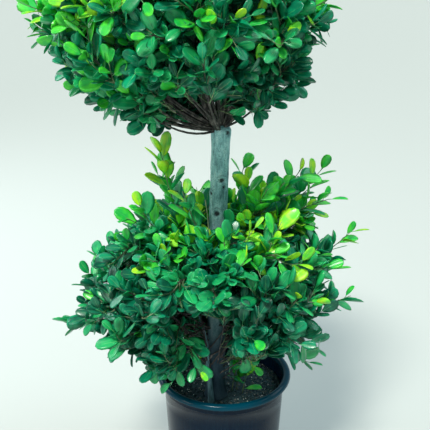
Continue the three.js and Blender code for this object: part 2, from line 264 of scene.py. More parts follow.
def copied_faces(faces: list[Rows], corners: int, copies: int) -> list[Rows]:
    """Number the faces of many copies of a shape with so many corners, which follow on from each other."""
    steps = np.arange(copies)[:, None, None] * corners
    return [(part[None] + steps).reshape(-1, part.shape[1]) for part in faces]


def lathe(name: str, profile: Profile, steps: int) -> Piece:
    """Spin a closed profile about +Z.

    Args:
        name: The piece's name.
        profile: Radius and height of each point in millimetres, from the axis round to the axis.
        steps: Divisions of the full turn.

    Returns:
        The closed object, its faces outward.
    """
    shape = bmesh.new()
    points = [shape.verts.new((radius * MM, 0, height * MM)) for radius, height in profile]
    edges = [shape.edges.new(pair) for pair in zip(points, points[1:], strict=False)]
    turn = {"axis": (0, 0, 1), "cent": (0, 0, 0), "dvec": (0, 0, 0), "angle": math.tau, "steps": steps}
    bmesh.ops.spin(shape, geom=points + edges, use_merge=True, **turn)
    bmesh.ops.remove_doubles(shape, verts=shape.verts[:], dist=1e-6)
    bmesh.ops.recalc_face_normals(shape, faces=shape.faces[:])
    return piece_from(name, shape)


def keep(piece: Piece, material: bpy.types.Material, nodes: Sequence[str] = ()) -> None:
    """Dress a finished piece and enter it in the frame.

    Args:
        piece: The object.
        material: Its material.
        nodes: The frame's nodes that it stands for.
    """
    piece.data.materials.clear()
    piece.data.materials.append(material)
    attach(piece, BODY)
    if nodes:
        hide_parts(*nodes)
    log.info("%s: %d faces, stands for %d nodes", piece.name, len(piece.data.polygons), len(nodes))


# ---- Finishes ----------------------------------------------------------------------------------


def add(
    tree: Tree,
    kind: str,
    settings: dict[str | int, object] | None = None,
    links: dict[str | int, Socket] | None = None,
    stops: Sequence[tuple[float, str]] = (),
    output: str | int = 0,
) -> Socket:
    """Add a node with its settings and links.

    Args:
        tree: The material's nodes.
        kind: The node's type name, after the prefix that all of them share.
        settings: Values of its input sockets, by name or number, or of its properties, by name.
        links: Output sockets that feed its inputs, by the input's name or number.
        stops: Places from 0 to 1 of its colours, and the hex colours.
        output: Name or number of the output that is wanted.

    Returns:
        That output of the new node.
    """
    node = tree.nodes.new("ShaderNode" + kind)
    for name, value in (settings or {}).items():
        if isinstance(name, int) or name in node.inputs:
            node.inputs[name].default_value = value
        else:
            setattr(node, name, value)
    for name, socket in (links or {}).items():
        tree.links.new(socket, node.inputs[name])
    if stops:
        elements = node.color_ramp.elements
        while len(elements) < len(stops):
            elements.new(0.5)
        for element, (place, colour) in zip(elements, stops, strict=True):
            element.position = place
            element.color = linear(colour)
    return node.outputs[output]


@dataclass(frozen=True)
class Finish:
    """What every finish has: a plain name and the roughness of its kind of surface."""

    name: str
    roughness: float

    def constants(self) -> dict[str, object]:
        """Return what is the same all over the surface, by the shader's own sockets."""
        return {}

    def patterns(self, tree: Tree) -> dict[str, Socket]:
        """Return what differs over the surface, by the shader's own sockets, on object coordinates."""
        return {}

    def make(self) -> bpy.types.Material:
        """Make the material.

        Returns:
            The material.
        """
        material = bpy.data.materials.new(self.name)
        material.use_nodes = True
        tree = material.node_tree
        inputs = tree.nodes["Principled BSDF"].inputs
        for name, value in {"Roughness": self.roughness, **self.constants()}.items():
            inputs[name].default_value = value
        for name, socket in self.patterns(tree).items():
            tree.links.new(socket, inputs[name])
        return material


@dataclass(frozen=True)
class PaintFinish(Finish):
    """Matt paint on the studio's floor."""

    colour: str

    def constants(self) -> dict[str, object]:
        """Return the paint's colour."""
        return {"Base Color": linear(self.colour)}


@dataclass(frozen=True)
class LeafFinish(Finish):
    """A fig leaf's blade: leathery, under a thin wax that mirrors the sky softly."""

    light: str
    dark: str

    def constants(self) -> dict[str, object]:
        """Return the gloss of the skin and of the wax on it."""
        return {"Specular IOR Level": 0.4, "Coat Weight": 0.15, "Coat Roughness": 0.15}

    def patterns(self, tree: Tree) -> dict[str, Socket]:
        """Work out the leaf's colour and its quilted surface.

        Args:
            tree: The material's nodes.

        Returns:
            What feeds the shader's sockets.
        """
        place = add(tree, "TexCoord", output="Object")
        # The colour drifts between two greens from leaf to leaf, over about 30 mm
        drift = add(tree, "TexNoise", {"Scale": 33.0, "Detail": 2.0, "Roughness": 0.6}, {"Vector": place})
        colour = add(tree, "ValToRGB", links={"Fac": drift}, stops=[(0.4, self.dark), (0.6, self.light)])
        # The blade's faint quilting between its side veins, about 5 mm apart
        quilt = add(tree, "TexNoise", {"Scale": 210.0, "Detail": 1.0}, {"Vector": place})
        bump = add(tree, "Bump", {"Strength": 0.25, "Distance": 0.0006}, {"Height": quilt})
        return {"Base Color": colour, "Normal": bump}


@dataclass(frozen=True)
class BarkFinish(Finish):
    """Thin smooth fig bark: grey-green, with paler crust, dark specks and pale breathing pores."""

    base: str
    pale: str
    dark: str
    speck: float
    scar: str = ""
    # Painted shade over the foot, where the lower crown shades the trunk
    foot_shade: str = ""

    def patterns(self, tree: Tree) -> dict[str, Socket]:
        """Work out the bark's colour and relief.

        Args:
            tree: The material's nodes.

        Returns:
            What feeds the shader's sockets.
        """
        place = add(tree, "TexCoord", output="Object")
        # Lengthwise clouds: patches about 12 mm round the stem and 40 mm along it
        squeezed = add(tree, "Mapping", {"Scale": (1.0, 1.0, 0.3)}, {"Vector": place})
        clouds = add(tree, "TexNoise", {"Scale": 85.0, "Detail": 5.0, "Roughness": 0.62}, {"Vector": squeezed})
        stops = [(0.32, self.dark), (0.5, self.base), (0.68, self.pale)]
        skin = add(tree, "ValToRGB", links={"Fac": clouds}, stops=stops)
        # Pores and lichen specks, about 3 mm across
        specks = add(tree, "TexNoise", {"Scale": 360.0, "Detail": 2.5, "Roughness": 0.7}, {"Vector": place})
        spots = {"From Min": 0.54, "From Max": 0.64, "To Max": self.speck}
        layers = [(self.dark, add(tree, "MapRange", spots, {"Value": specks}))]
        if self.scar:
            # Dead bark round healed knots, by the mesh's own scar attribute
            layers.append((self.scar, add(tree, "Attribute", {"attribute_name": SCAR}, output="Fac")))
        if self.foot_shade:
            # Painted shade of the lower crown darkens the foot to near-black blue: in full to 145 mm above the
            # soil, and gone by 345 mm
            height = add(tree, "SeparateXYZ", links={0: place}, output="Z")
            low = {"From Min": 0.6, "From Max": 0.4, "To Max": 0.92}
            layers.append((self.foot_shade, add(tree, "MapRange", low, {"Value": height})))
        for colour, share in layers:
            mix = {"data_type": "RGBA", SECOND: linear(colour)}
            skin = add(tree, "Mix", mix, {SHARE: share, FIRST: skin}, output=MIXED)
        # Fine crosswise wrinkles on top of the clouds, 1.3 mm apart and 6 mm long
        drawn = add(tree, "Mapping", {"Scale": (0.35, 0.35, 1.6)}, {"Vector": place})
        ridges = add(tree, "TexNoise", {"Scale": 480.0, "Detail": 4.0, "Roughness": 0.65}, {"Vector": drawn})
        relief = add(tree, "Math", {"operation": "ADD"}, {0: ridges, 1: clouds})
        bump = add(tree, "Bump", {"Strength": 0.55, "Distance": 0.0014}, {"Height": relief})
        return {"Base Color": skin, "Normal": bump}


@dataclass(frozen=True)
class PlasticFinish(Finish):
    """Moulded polypropylene, nearly black: a soft sheen, with scuffs and dried dust from the nursery.

    The rim and the top of the inside are painted a lighter blue for the sky that they reflect and the light that
    falls on them; below them the plastic keeps its nearly black colour.
    """

    base: str
    worn: str
    dust: str
    painted_light: str

    def constants(self) -> dict[str, object]:
        """Return the plastic's weak gloss."""
        return {"Specular IOR Level": 0.14}

    def patterns(self, tree: Tree) -> dict[str, Socket]:
        """Work out the plastic's colour, roughness and relief.

        Args:
            tree: The material's nodes.

        Returns:
            What feeds the shader's sockets.
        """
        place = add(tree, "TexCoord", output="Object")
        # Draw marks of the mould and of stacking: 4 mm round the wall and 77 mm down it
        drawn = add(tree, "Mapping", {"Scale": (1.0, 1.0, 0.05)}, {"Vector": place})
        scuffs = add(tree, "TexNoise", {"Scale": 260.0, "Detail": 4.0, "Roughness": 0.6}, {"Vector": drawn})
        skin = add(tree, "ValToRGB", links={"Fac": scuffs}, stops=[(0.48, self.base), (0.85, self.worn)])
        # Dust lies in clouds about 55 mm wide
        clouds = add(tree, "TexNoise", {"Scale": 18.0, "Detail": 6.0, "Roughness": 0.7}, {"Vector": place})
        dusty = {"From Min": 0.5, "From Max": 0.8, "To Max": 0.2}
        # The rim starts 286 mm above the ground, and the painted sky reflection, a lighter blue, sets in from 4 mm
        # below it
        height = add(tree, "SeparateXYZ", links={0: place}, output="Z")
        rim = {"From Min": 0.282, "From Max": 0.287}
        layers = [
            (self.dust, add(tree, "MapRange", dusty, {"Value": clouds})),
            # Painted reflection: the rim is mixed to a lighter blue
            (self.painted_light, add(tree, "MapRange", rim, {"Value": height})),
        ]
        for colour, share in layers:
            mix = {"data_type": "RGBA", SECOND: linear(colour)}
            skin = add(tree, "Mix", mix, {SHARE: share, FIRST: skin}, output=MIXED)
        dull = {"From Min": 0.3, "From Max": 0.75, "To Min": self.roughness, "To Max": self.roughness + 0.12}
        sheen = add(tree, "MapRange", dull, {"Value": clouds})
        bump = add(tree, "Bump", {"Strength": 0.05, "Distance": 0.0004}, {"Height": scuffs})
        return {"Base Color": skin, "Roughness": sheen, "Normal": bump}


@dataclass(frozen=True)
class GrainFinish(Finish):
    """Loose matter, such as moist peat, composted bark or expanded mineral grains."""

    light: str
    dark: str
    grain_mm: float

    def patterns(self, tree: Tree) -> dict[str, Socket]:
        """Work out the grains' colour and relief.

        Args:
            tree: The material's nodes.

        Returns:
            What feeds the shader's sockets.
        """
        place = add(tree, "TexCoord", output="Object")
        sizes = {"Scale": 1000 / self.grain_mm, "Detail": 5.0, "Roughness": 0.7}
        grain = add(tree, "TexNoise", sizes, {"Vector": place})
        colour = add(tree, "ValToRGB", links={"Fac": grain}, stops=[(0.35, self.dark), (0.7, self.light)])
        bump = add(tree, "Bump", {"Strength": 0.8, "Distance": self.grain_mm * MM * 0.3}, {"Height": grain})
        return {"Base Color": colour, "Normal": bump}


class Tone(Enum):
    """Ages of leaf, from the oldest inside the crown to the ones just out at the tips."""

    DEEP = 0
    MATURE = 1
    MID = 2
    YOUNG = 3
    NEW = 4


LEAF_FINISHES = {
    Tone.DEEP: LeafFinish("leaf_deep", 0.34, "#087a58", "#04523c"),
    Tone.MATURE: LeafFinish("leaf_mature", 0.31, "#0a9e6c", "#057252"),
    Tone.MID: LeafFinish("leaf_mid", 0.31, "#22b064", "#0c9058"),
    Tone.YOUNG: LeafFinish("leaf_young", 0.34, "#4cd838", "#1cb446"),
    Tone.NEW: LeafFinish("leaf_new", 0.38, "#b6f02c", "#62da34"),
}
STALK_SKIN = LeafFinish("leaf_stalk_skin", 0.45, "#7cc980", "#4aa866")
# The trunk's last colour is painted shade, near-black blue, for its foot under the lower crown
TRUNK_BARK = BarkFinish(
    "trunk_grey_bark", 0.7, "#8ec6ca", "#b8e2e2", "#48767c", speck=0.7, scar="#24383c", foot_shade="#042840"
)
SIDE_BARK = BarkFinish("side_stem_bark", 0.75, "#5c8690", "#7ca4ae", "#2e4c54", speck=0.4)
DEAD_WOOD = BarkFinish("dead_wood", 0.95, "#2c3a3c", "#566466", "#182022", speck=0.5)
BOUGH_BARK = BarkFinish("bough_brown_bark", 0.8, "#403c3c", "#7e7672", "#16191c", speck=0.4)
TWIG_BARK = BarkFinish("twig_green_bark", 0.6, "#667858", "#96a87c", "#445240", speck=0.3)
# The last colour is a painted reflection of the sky, lighter blue, on the rim
POT_PLASTIC = PlasticFinish("moulded_black_plastic", 0.13, "#00162a", "#0a2436", "#182e3a", "#003c4e")
PEAT = GrainFinish("damp_peat", 0.95, "#305258", "#0a1c26", 4.0)
PEAT_CRUMB = GrainFinish("peat_crumbs", 0.95, "#466a70", "#14282e", 2.0)
PERLITE = GrainFinish("expanded_perlite", 0.9, "#e9efe9", "#b3bdb6", 1.5)
BARK_CHIP = GrainFinish("composted_bark_chips", 0.9, "#747a74", "#343c3a", 3.0)
FLOOR_PAINT = PaintFinish("pale_floor_paint", 0.9, "#b8bcb8")


# ---- Pot and soil ------------------------------------------------------------------------------


@dataclass
class Pot:
    """A seven-gallon nursery container with a rolled rim over a short collar."""

    height: float = 300.0
    rim_radius: float = 176.0
    rim_width: float = 20.0
    rim_depth: float = 14.0
    rim_skirt: float = 4.0
    rim_edge: float = 3.0
    collar_radius: float = 163.0
    collar_depth: float = 34.0
    collar_edge: float = 2.5
    collar_fillet: float = 2.0
    wall_top_radius: float = 158.0
    base_radius: float = 144.0
    wall: float = 4.0
    foot_round: float = 7.0
    floor_fillet: float = 6.0
    groove_radii: tuple[float, ...] = (42.0, 84.0, 122.0)
    groove_half: float = 1.5
    groove_depth: float = 1.2
    steps: int = 144

    def wall_radius(self, height: float) -> float:
        """Return the wall's outer radius at a height."""
        share = height / (self.height - self.collar_depth)
        return self.base_radius + (self.wall_top_radius - self.base_radius) * share

    def arc(
        self, radius: float, height: float, half: float, tall: float, span: tuple[int, int], steps: int
    ) -> Profile:
        """Work out an upright oval arc for a profile.

        Args:
            radius: Radius of the arc's centre.
            height: Height of its centre.
            half: Its half width.
            tall: Its half height.
            span: First and last angle in degrees.
            steps: Stretches between its points.

        Returns:
            Radius and height of each point.
        """
        first, last = span
        angles = [math.radians(first + (last - first) * i / steps) for i in range(steps + 1)]
        return [(radius + half * math.cos(angle), height + tall * math.sin(angle)) for angle in angles]

    def profile(self) -> Profile:
        """Work out the section from the underside's centre, round the rim, to the inside of the floor.

        Returns:
            Radius and height of each point.
        """
        collar, collar_foot = self.collar_radius, self.height - self.collar_depth
        rim, rim_foot, half = self.rim_radius, self.height - self.rim_depth, self.rim_width / 2
        foot, edge, fillet, lip = self.foot_round, self.collar_edge, self.collar_fillet, self.rim_edge
        skirt, corner = self.rim_skirt, self.wall + self.floor_fillet
        groove = ((-self.groove_half, 0.0), (0.0, self.groove_depth), (self.groove_half, 0.0))
        inner = self.wall_radius(collar_foot) - self.wall
        return [
            (0.0, 0.0),
            *[(radius + across, up) for radius in self.groove_radii for across, up in groove],
            *self.arc(self.base_radius - foot, foot, foot, foot, (-90, 0), 6),
            *[(self.wall_radius(height), height) for height in (60.0, 140.0, 220.0, collar_foot - 2)],
            *self.arc(collar - edge, collar_foot + edge, edge, edge, (-60, 0), 3),
            (collar, rim_foot - fillet),
            *self.arc(collar + fillet, rim_foot - fillet, fillet, fillet, (150, 90), 2),
            (rim - 1.5 * lip, rim_foot),
            *self.arc(rim - lip - 0.2, rim_foot + lip, lip, lip, (-70, -15), 3),
            *self.arc(rim - half, rim_foot + skirt, half, self.rim_depth - skirt, (6, 180), 12),
            (inner + 1.2, collar_foot + 6.0),
            (inner, collar_foot - 2.0),
            (self.wall_radius(140) - self.wall, 140.0),
            (self.wall_radius(corner) - self.wall, corner),
            (self.wall_radius(self.wall) - corner, self.wall),
            (0.0, self.wall),
        ]

    def build(self) -> None:
        """Make the pot and dress it in black plastic."""
        keep(lathe("nursery_pot", self.profile(), self.steps), POT_PLASTIC.make(), ["pot"])


@dataclass(frozen=True)
class Litter:
    """One kind of small lump on the soil: least and most width, and height as a share of the width."""

    name: str
    count: int
    widths: tuple[float, float]
    flat: float
    finish: GrainFinish


@dataclass
class Soil:
    """Damp potting mix with crumbs, bark chips and white perlite on top of it."""

    pot: Pot
    top: float = 255.0
    fit: float = 4.3
    sink: float = 3.2
    rings: int = 26
    steps: int = 120
    trunk_foot: tuple[float, float] = (-21.0, -50.0)
    trunk_gap: float = 34.0
    wall_gap: float = 4.0
    litters: tuple[Litter, ...] = (
        Litter("peat_crumbs", 1700, (2.0, 8.0), 0.7, PEAT_CRUMB),
        Litter("bark_chips", 320, (5.0, 13.0), 0.28, BARK_CHIP),
        Litter("perlite_grains", 260, (1.8, 6.0), 0.8, PERLITE),
    )

    @property
    def radius(self) -> float:
        """The radius of the soil's surface."""
        return self.pot.wall_radius(self.top) - self.fit

    def height_at(self, x: float, y: float) -> float:
        """Return the height of the lumpy surface, which falls a little towards the wall.

        Args:
            x: Place to the right.
            y: Place to the back.

        Returns:
            The height, with lumps of about 34 mm and of about 9 mm.
        """
        lump = noise.noise(Vector((x / 34, y / 34, 0.3))) * 3.2 + noise.noise(Vector((x / 9, y / 9, 5.1))) * 1.5
        edge = max(math.hypot(x, y) / self.radius - 0.85, 0) * 14
        return self.top - self.sink + lump - edge

    def bed(self) -> Piece:
        """Make the closed body of the soil with its lumpy top.

        Returns:
            The object.
        """
        low = self.pot.wall_radius(self.fit) - self.fit
        surface = [(self.radius * i / self.rings, self.top) for i in range(self.rings, -1, -1)]
        piece = lathe("potting_mix_bed", [(0.0, self.fit), (low, self.fit), *surface], self.steps)
        for vertex in piece.data.vertices:
            if vertex.co.z > (self.top - 1) * MM:
                vertex.co.z = self.height_at(vertex.co.x / MM, vertex.co.y / MM) * MM
        return piece

    def scatter(self, litter: Litter, seed: int) -> Piece:
        """Strew small lumps over the soil.

        Args:
            litter: Their kind.
            seed: Seed of the random numbers.

        Returns:
            All the lumps as one object.
        """
        random = np.random.default_rng(SEED + seed)
        ball = bmesh.new()
        bmesh.ops.create_icosphere(ball, subdivisions=1, radius=0.5)
        shape = np.array([vertex.co[:] for vertex in ball.verts])
        faces = np.array([[vertex.index for vertex in face.verts] for face in ball.faces])
        ball.free()
        least, most = litter.widths
        corners = []
        while len(corners) < litter.count:
            reach = (self.radius - self.wall_gap) * math.sqrt(random.uniform())
            angle = random.uniform(0, math.tau)
            x, y = reach * math.cos(angle), reach * math.sin(angle)
            if math.dist((x, y), self.trunk_foot) < self.trunk_gap:
                continue
            size = least + (most - least) * random.uniform() ** 2.2
            lump = shape * (1 + random.uniform(-0.22, 0.3, (len(shape), 1))) * size
            lump *= np.array([1.0, random.uniform(0.55, 1.0), litter.flat])
            tilt = Matrix.Rotation(random.normal(0, 0.35), 3, "X")
            tilt = tilt @ Matrix.Rotation(random.uniform(0, math.tau), 3, "Z")
            place = np.array([x, y, self.height_at(x, y) + size * litter.flat * 0.25])
            corners.append(lump @ np.array(tilt) + place)
        copies = copied_faces([faces], len(shape), litter.count)
        return joined_piece(litter.name, np.concatenate(corners), copies)

    def build(self) -> None:
        """Make the soil and what lies on it, and dress them."""
        keep(self.bed(), PEAT.make(), ["potting_soil"])
        for seed, litter in enumerate(self.litters, 1):
            keep(self.scatter(litter, seed), litter.finish.make())


# ---- Trunk and boughs --------------------------------------------------------------------------


@dataclass
class Limb:
    """A round tapering limb with bark relief, extruded ring by ring along its path."""

    path: Path
    radius_at: Callable[[float], float]
    sides: int
    ring_gap: float
    relief: float

    def frames(self) -> list[Matrix]:
        """Work out where the rings stand, with no twist from ring to ring.

        Returns:
            The place and turn of each ring, in metres.
        """
        shares = np.linspace(0, 1, max(int(self.path.length / self.ring_gap), 3))
        places, ahead = self.path.at(shares) * MM, self.path.ahead(shares)
        side = Vector(ahead[0]).orthogonal().normalized()
        frames = []
        for place, way in zip(places, ahead, strict=True):
            axis = Vector(way)
            side = (side - side.dot(axis) * axis).normalized()
            frame = Matrix((side, axis.cross(side), axis)).transposed().to_4x4()
            frame.translation = Vector(place)
            frames.append(frame)
        return frames

    def build(self) -> Shape:
        """Extrude the limb.

        Returns:
            The closed limb, in metres.
        """
        shape, frames = bmesh.new(), self.frames()
        radii = [self.radius_at(i / (len(frames) - 1)) * MM for i in range(len(frames))]
        foot = {"cap_ends": True, "segments": self.sides, "radius": radii[0], "matrix": frames[0]}
        ring = bmesh.ops.create_circle(shape, **foot)["verts"]
        edges = [edge for edge in shape.edges if all(vertex in ring for vertex in edge.verts)]
        for i in range(1, len(frames)):
            made = bmesh.ops.extrude_edge_only(shape, edges=edges)["geom"]
            verts = [part for part in made if isinstance(part, bmesh.types.BMVert)]
            edges = [part for part in made if isinstance(part, bmesh.types.BMEdge) and part.is_boundary]
            grow = Matrix.Scale(radii[i] / radii[i - 1], 4)
            bmesh.ops.transform(shape, matrix=frames[i] @ grow @ frames[i - 1].inverted(), verts=verts)
        bmesh.ops.holes_fill(shape, edges=edges, sides=0)
        bmesh.ops.recalc_face_normals(shape, faces=shape.faces[:])
        self.roughen(shape)
        return shape

    def roughen(self, shape: Shape) -> None:
        """Raise the bark's relief: shallow ripples, 13 mm wide and 34 mm long, and warts 6.5 mm wide.

        Args:
            shape: The plain limb, in metres.
        """
        shape.normal_update()
        for vertex in shape.verts:
            place = vertex.co / MM
            ripple = noise.noise(Vector((place.x / 13, place.y / 13, place.z / 34)))
            wart = max(noise.noise(place / 6.5) - 0.25, 0) * 1.6
            vertex.co += vertex.normal * (ripple + wart) * self.relief * MM


@dataclass(frozen=True)
class Knot:
    """A healed pruning scar: a low collar round a sunken dark eye, under a brow of bark."""

    height: float
    turn: float
    size: float
    collar_rise: float = 1.1
    eye_depth: float = 2.0
    brow_depth: float = 0.8
    eye_share: float = 0.42
    eye_bulge: float = 1.3

    def relief(self, place: Rows, angle: float, radius: float) -> tuple[float, float]:
        """Work out what the knot does to a point of the trunk.

        Args:
            place: The point.
            angle: Its turn about the trunk's axis, in radians.
            radius: The trunk's radius.

        Returns:
            How far the point is pushed outwards, and how dark its bark is, from 0 to 1.
        """
        across = math.remainder(angle - math.radians(self.turn), math.tau) * radius
        rise = place[2] - self.height
        away = math.hypot(across, rise) / self.size + 0.3 * noise.noise(Vector(place) / 3)
        collar = self.collar_rise * math.exp(-((away - 0.9) ** 2) * 5)
        eye = self.eye_depth * math.exp(-((away / 0.5) ** 2))
        # The brow: a fold of bark that arches over the scar and runs down on both sides
        brow = abs(rise + 0.5 * abs(across) - 1.15 * self.size) / self.size
        fold = math.exp(-((brow / 0.13) ** 2)) * max(1 - abs(across) / (1.6 * self.size), 0)
        return collar - eye - self.brow_depth * fold, min(max(1.15 - (away / 0.62) ** 2, 0.75 * fold), 1.0)


@dataclass
class Trunk:
    """The bare stem, from its flared foot on the soil to the pollard head under the upper ball."""

    foot: Place = (-21.0, -50.0, 255.3)
    waist: Place = (-17.0, -40.0, 700.0)
    head: Place = (-9.0, -35.0, 968.0)
    foot_radius: float = 23.5
    top_radius: float = 21.0
    flare: float = 6.0
    flare_height: float = 22.0
    lobes: int = 4
    trim: float = 10.0
    side_stem: tuple[Place, ...] = (
        (-33.0, -79.0, 250.0),
        (-36.0, -77.0, 300.0),
        (-41.0, -73.0, 352.0),
        (-43.0, -70.0, 400.0),
        (-52.0, -66.0, 452.0),
        (-74.0, -70.0, 520.0),
    )
    knots: tuple[Knot, ...] = (
        Knot(839, -74, 11.5),
        Knot(822, -60, 8.5),
        Knot(805, -150, 9.0),
        Knot(757, -100, 13.5),
        Knot(952, -50, 10.0),
        Knot(905, 95, 8.0),
        Knot(786, 60, 9.5),
        Knot(871, 170, 8.0),
        Knot(742, 20, 9.0),
    )

    def __post_init__(self) -> None:
        """Work out the centre line, which starts below the soil line as the source's does."""
        foot, above_flare = np.array(self.foot), 2 * self.flare_height
        knots = [foot - self.trim * UP, foot + above_flare * UP, self.waist, self.head]
        self.line = Path(smooth_through(np.array(knots), 60))

    def radius_at(self, share: float) -> float:
        """Work out the radius without the lobes of the flare.

        Args:
            share: Share of the line.

        Returns:
            The radius.
        """
        from_foot = max(share * self.line.length - self.trim, 0)
        from_head = (1 - share) * self.line.length
        swell = 3 * math.exp(-(((from_head - 15) / 30) ** 2))
        dome = math.sqrt(1 - 0.7 * max(1 - from_head / 16, 0) ** 2)
        flare = self.flare * math.exp(-from_foot / self.flare_height)
        return dome * (self.foot_radius + (self.top_radius - self.foot_radius) * share + flare + swell)

    def side_radius_at(self, share: float) -> float:
        """Return the side stem's radius, 9.6 mm in the soil and 2.4 mm at its tip, at a share of it."""
        return 8.0 - 5.6 * share**0.7 + 1.6 * math.exp(-share * 14)

    def axis_at(self, height: float) -> Rows:
        """Return the point of the centre line at a height."""
        points = self.line.points
        return np.array([np.interp(height, points[:, 2], points[:, axis]) for axis in range(3)])

    def carve(self, shape: Shape) -> None:
        """Shape the lobes of the flare and the knots, mark the dead bark and cut the foot level.

        Args:
            shape: The round stem, in metres.
        """
        scar = shape.verts.layers.float.new(SCAR)
        for vertex in shape.verts:
            place = np.array(vertex.co) / MM
            out = place - self.axis_at(place[2])
            out[2] = 0
            angle = math.atan2(out[1], out[0])
            lobe = 0.3 * math.cos(self.lobes * angle) * self.flare
            push = lobe * math.exp(-max(place[2] - self.foot[2], 0) / self.flare_height)
            for knot in self.knots:
                relief, dark = knot.relief(place, angle, self.top_radius)
                push += relief
                vertex[scar] = max(vertex[scar], dark)
            vertex.co += Vector(unit(out) * push * MM)
            vertex.co.z = max(vertex.co.z, self.foot[2] * MM)
        bmesh.ops.dissolve_degenerate(shape, dist=1e-5, edges=shape.edges[:])

    def knot_eyes(self) -> Shape:
        """Make the dark dead wood that sits in the eyes of the knots.

        Returns:
            All of it, in metres.
        """
        eyes = bmesh.new()
        for knot in self.knots:
            out = Vector(heading(knot.turn, 0))
            radius = self.radius_at((knot.height - self.foot[2]) / self.line.length) - 1.6
            turn = out.to_track_quat("Z", "Y").to_matrix().to_4x4()
            place = Matrix.Translation((Vector(self.axis_at(knot.height)) + out * radius) * MM)
            wide = knot.size * knot.eye_share * MM
            squash = Matrix.Diagonal((wide, wide, knot.eye_bulge * MM, 1.0))
            bmesh.ops.create_icosphere(eyes, subdivisions=2, radius=1.0, matrix=place @ turn @ squash)
        return eyes

    def build(self) -> None:
        """Make the trunk, the wood in its knots and the slender stem at its front left, and dress them."""
        stem = Limb(self.line, self.radius_at, sides=72, ring_gap=2.6, relief=0.6).build()
        self.carve(stem)
        keep(piece_from("trunk_stem", stem), TRUNK_BARK.make(), ["trunk"])
        keep(piece_from("trunk_knot_eyes", self.knot_eyes()), DEAD_WOOD.make())
        path = Path(smooth_through(np.array(self.side_stem), 12))
        side = Limb(path, self.side_radius_at, sides=16, ring_gap=4.0, relief=0.5).build()
        keep(piece_from("side_stem", side), SIDE_BARK.make())


# ---- Crowns ------------------------------------------------------------------------------------


@dataclass(frozen=True)
class Patch:
    """A round stretch of a crown that swells, thins out, or has its leaves dealt paler or darker as painted light,
    most of all at its middle.

    The middle's turn and rise, and the spread, are degrees as seen from the crown's centre.
    """

    turn: float
    rise: float
    strength: float
    spread: float

    def felt(self, ways: Rows) -> Rows:
        """Return how strongly it is felt along directions, one a row."""
        angle = np.arccos(np.clip(ways @ heading(self.turn, self.rise), -1, 1))
        return self.strength * np.exp(-((angle / math.radians(self.spread)) ** 2))


@dataclass(frozen=True)
class Opening:
    """A bare place before the trunk: an arch under a level, or a notch above it.

    The level climbs by the slope towards the front.
    """

    x: float
    half_width: float
    level: float
    slope: float
    back: float = 0.0
    notch: bool = False

    def holds(self, points: Rows, forward: Rows) -> Rows:
        """Find the points that lie in it.

        Args:
            points: The points, one a row.
            forward: How far before the trunk each lies.

        Returns:
            Whether each point does.
        """
        level = self.level + self.slope * forward
        beyond = points[:, 2] > level if self.notch else points[:, 2] < level
        return beyond & (forward > -self.back) & (np.abs(points[:, 0] - self.x) < self.half_width)


@dataclass(frozen=True)
class Shoot:
    """A long shoot that reaches past the ball, and the tone of its tip on the scale of ages."""

    turn: float
    rise: float
    reach: float
    tip_tone: float = 3.9


@dataclass(frozen=True)
class Tier:
    """A ring of foliage masses and the lift of their boughs."""

    masses: int
    turn: float
    rise: float
    lift: float


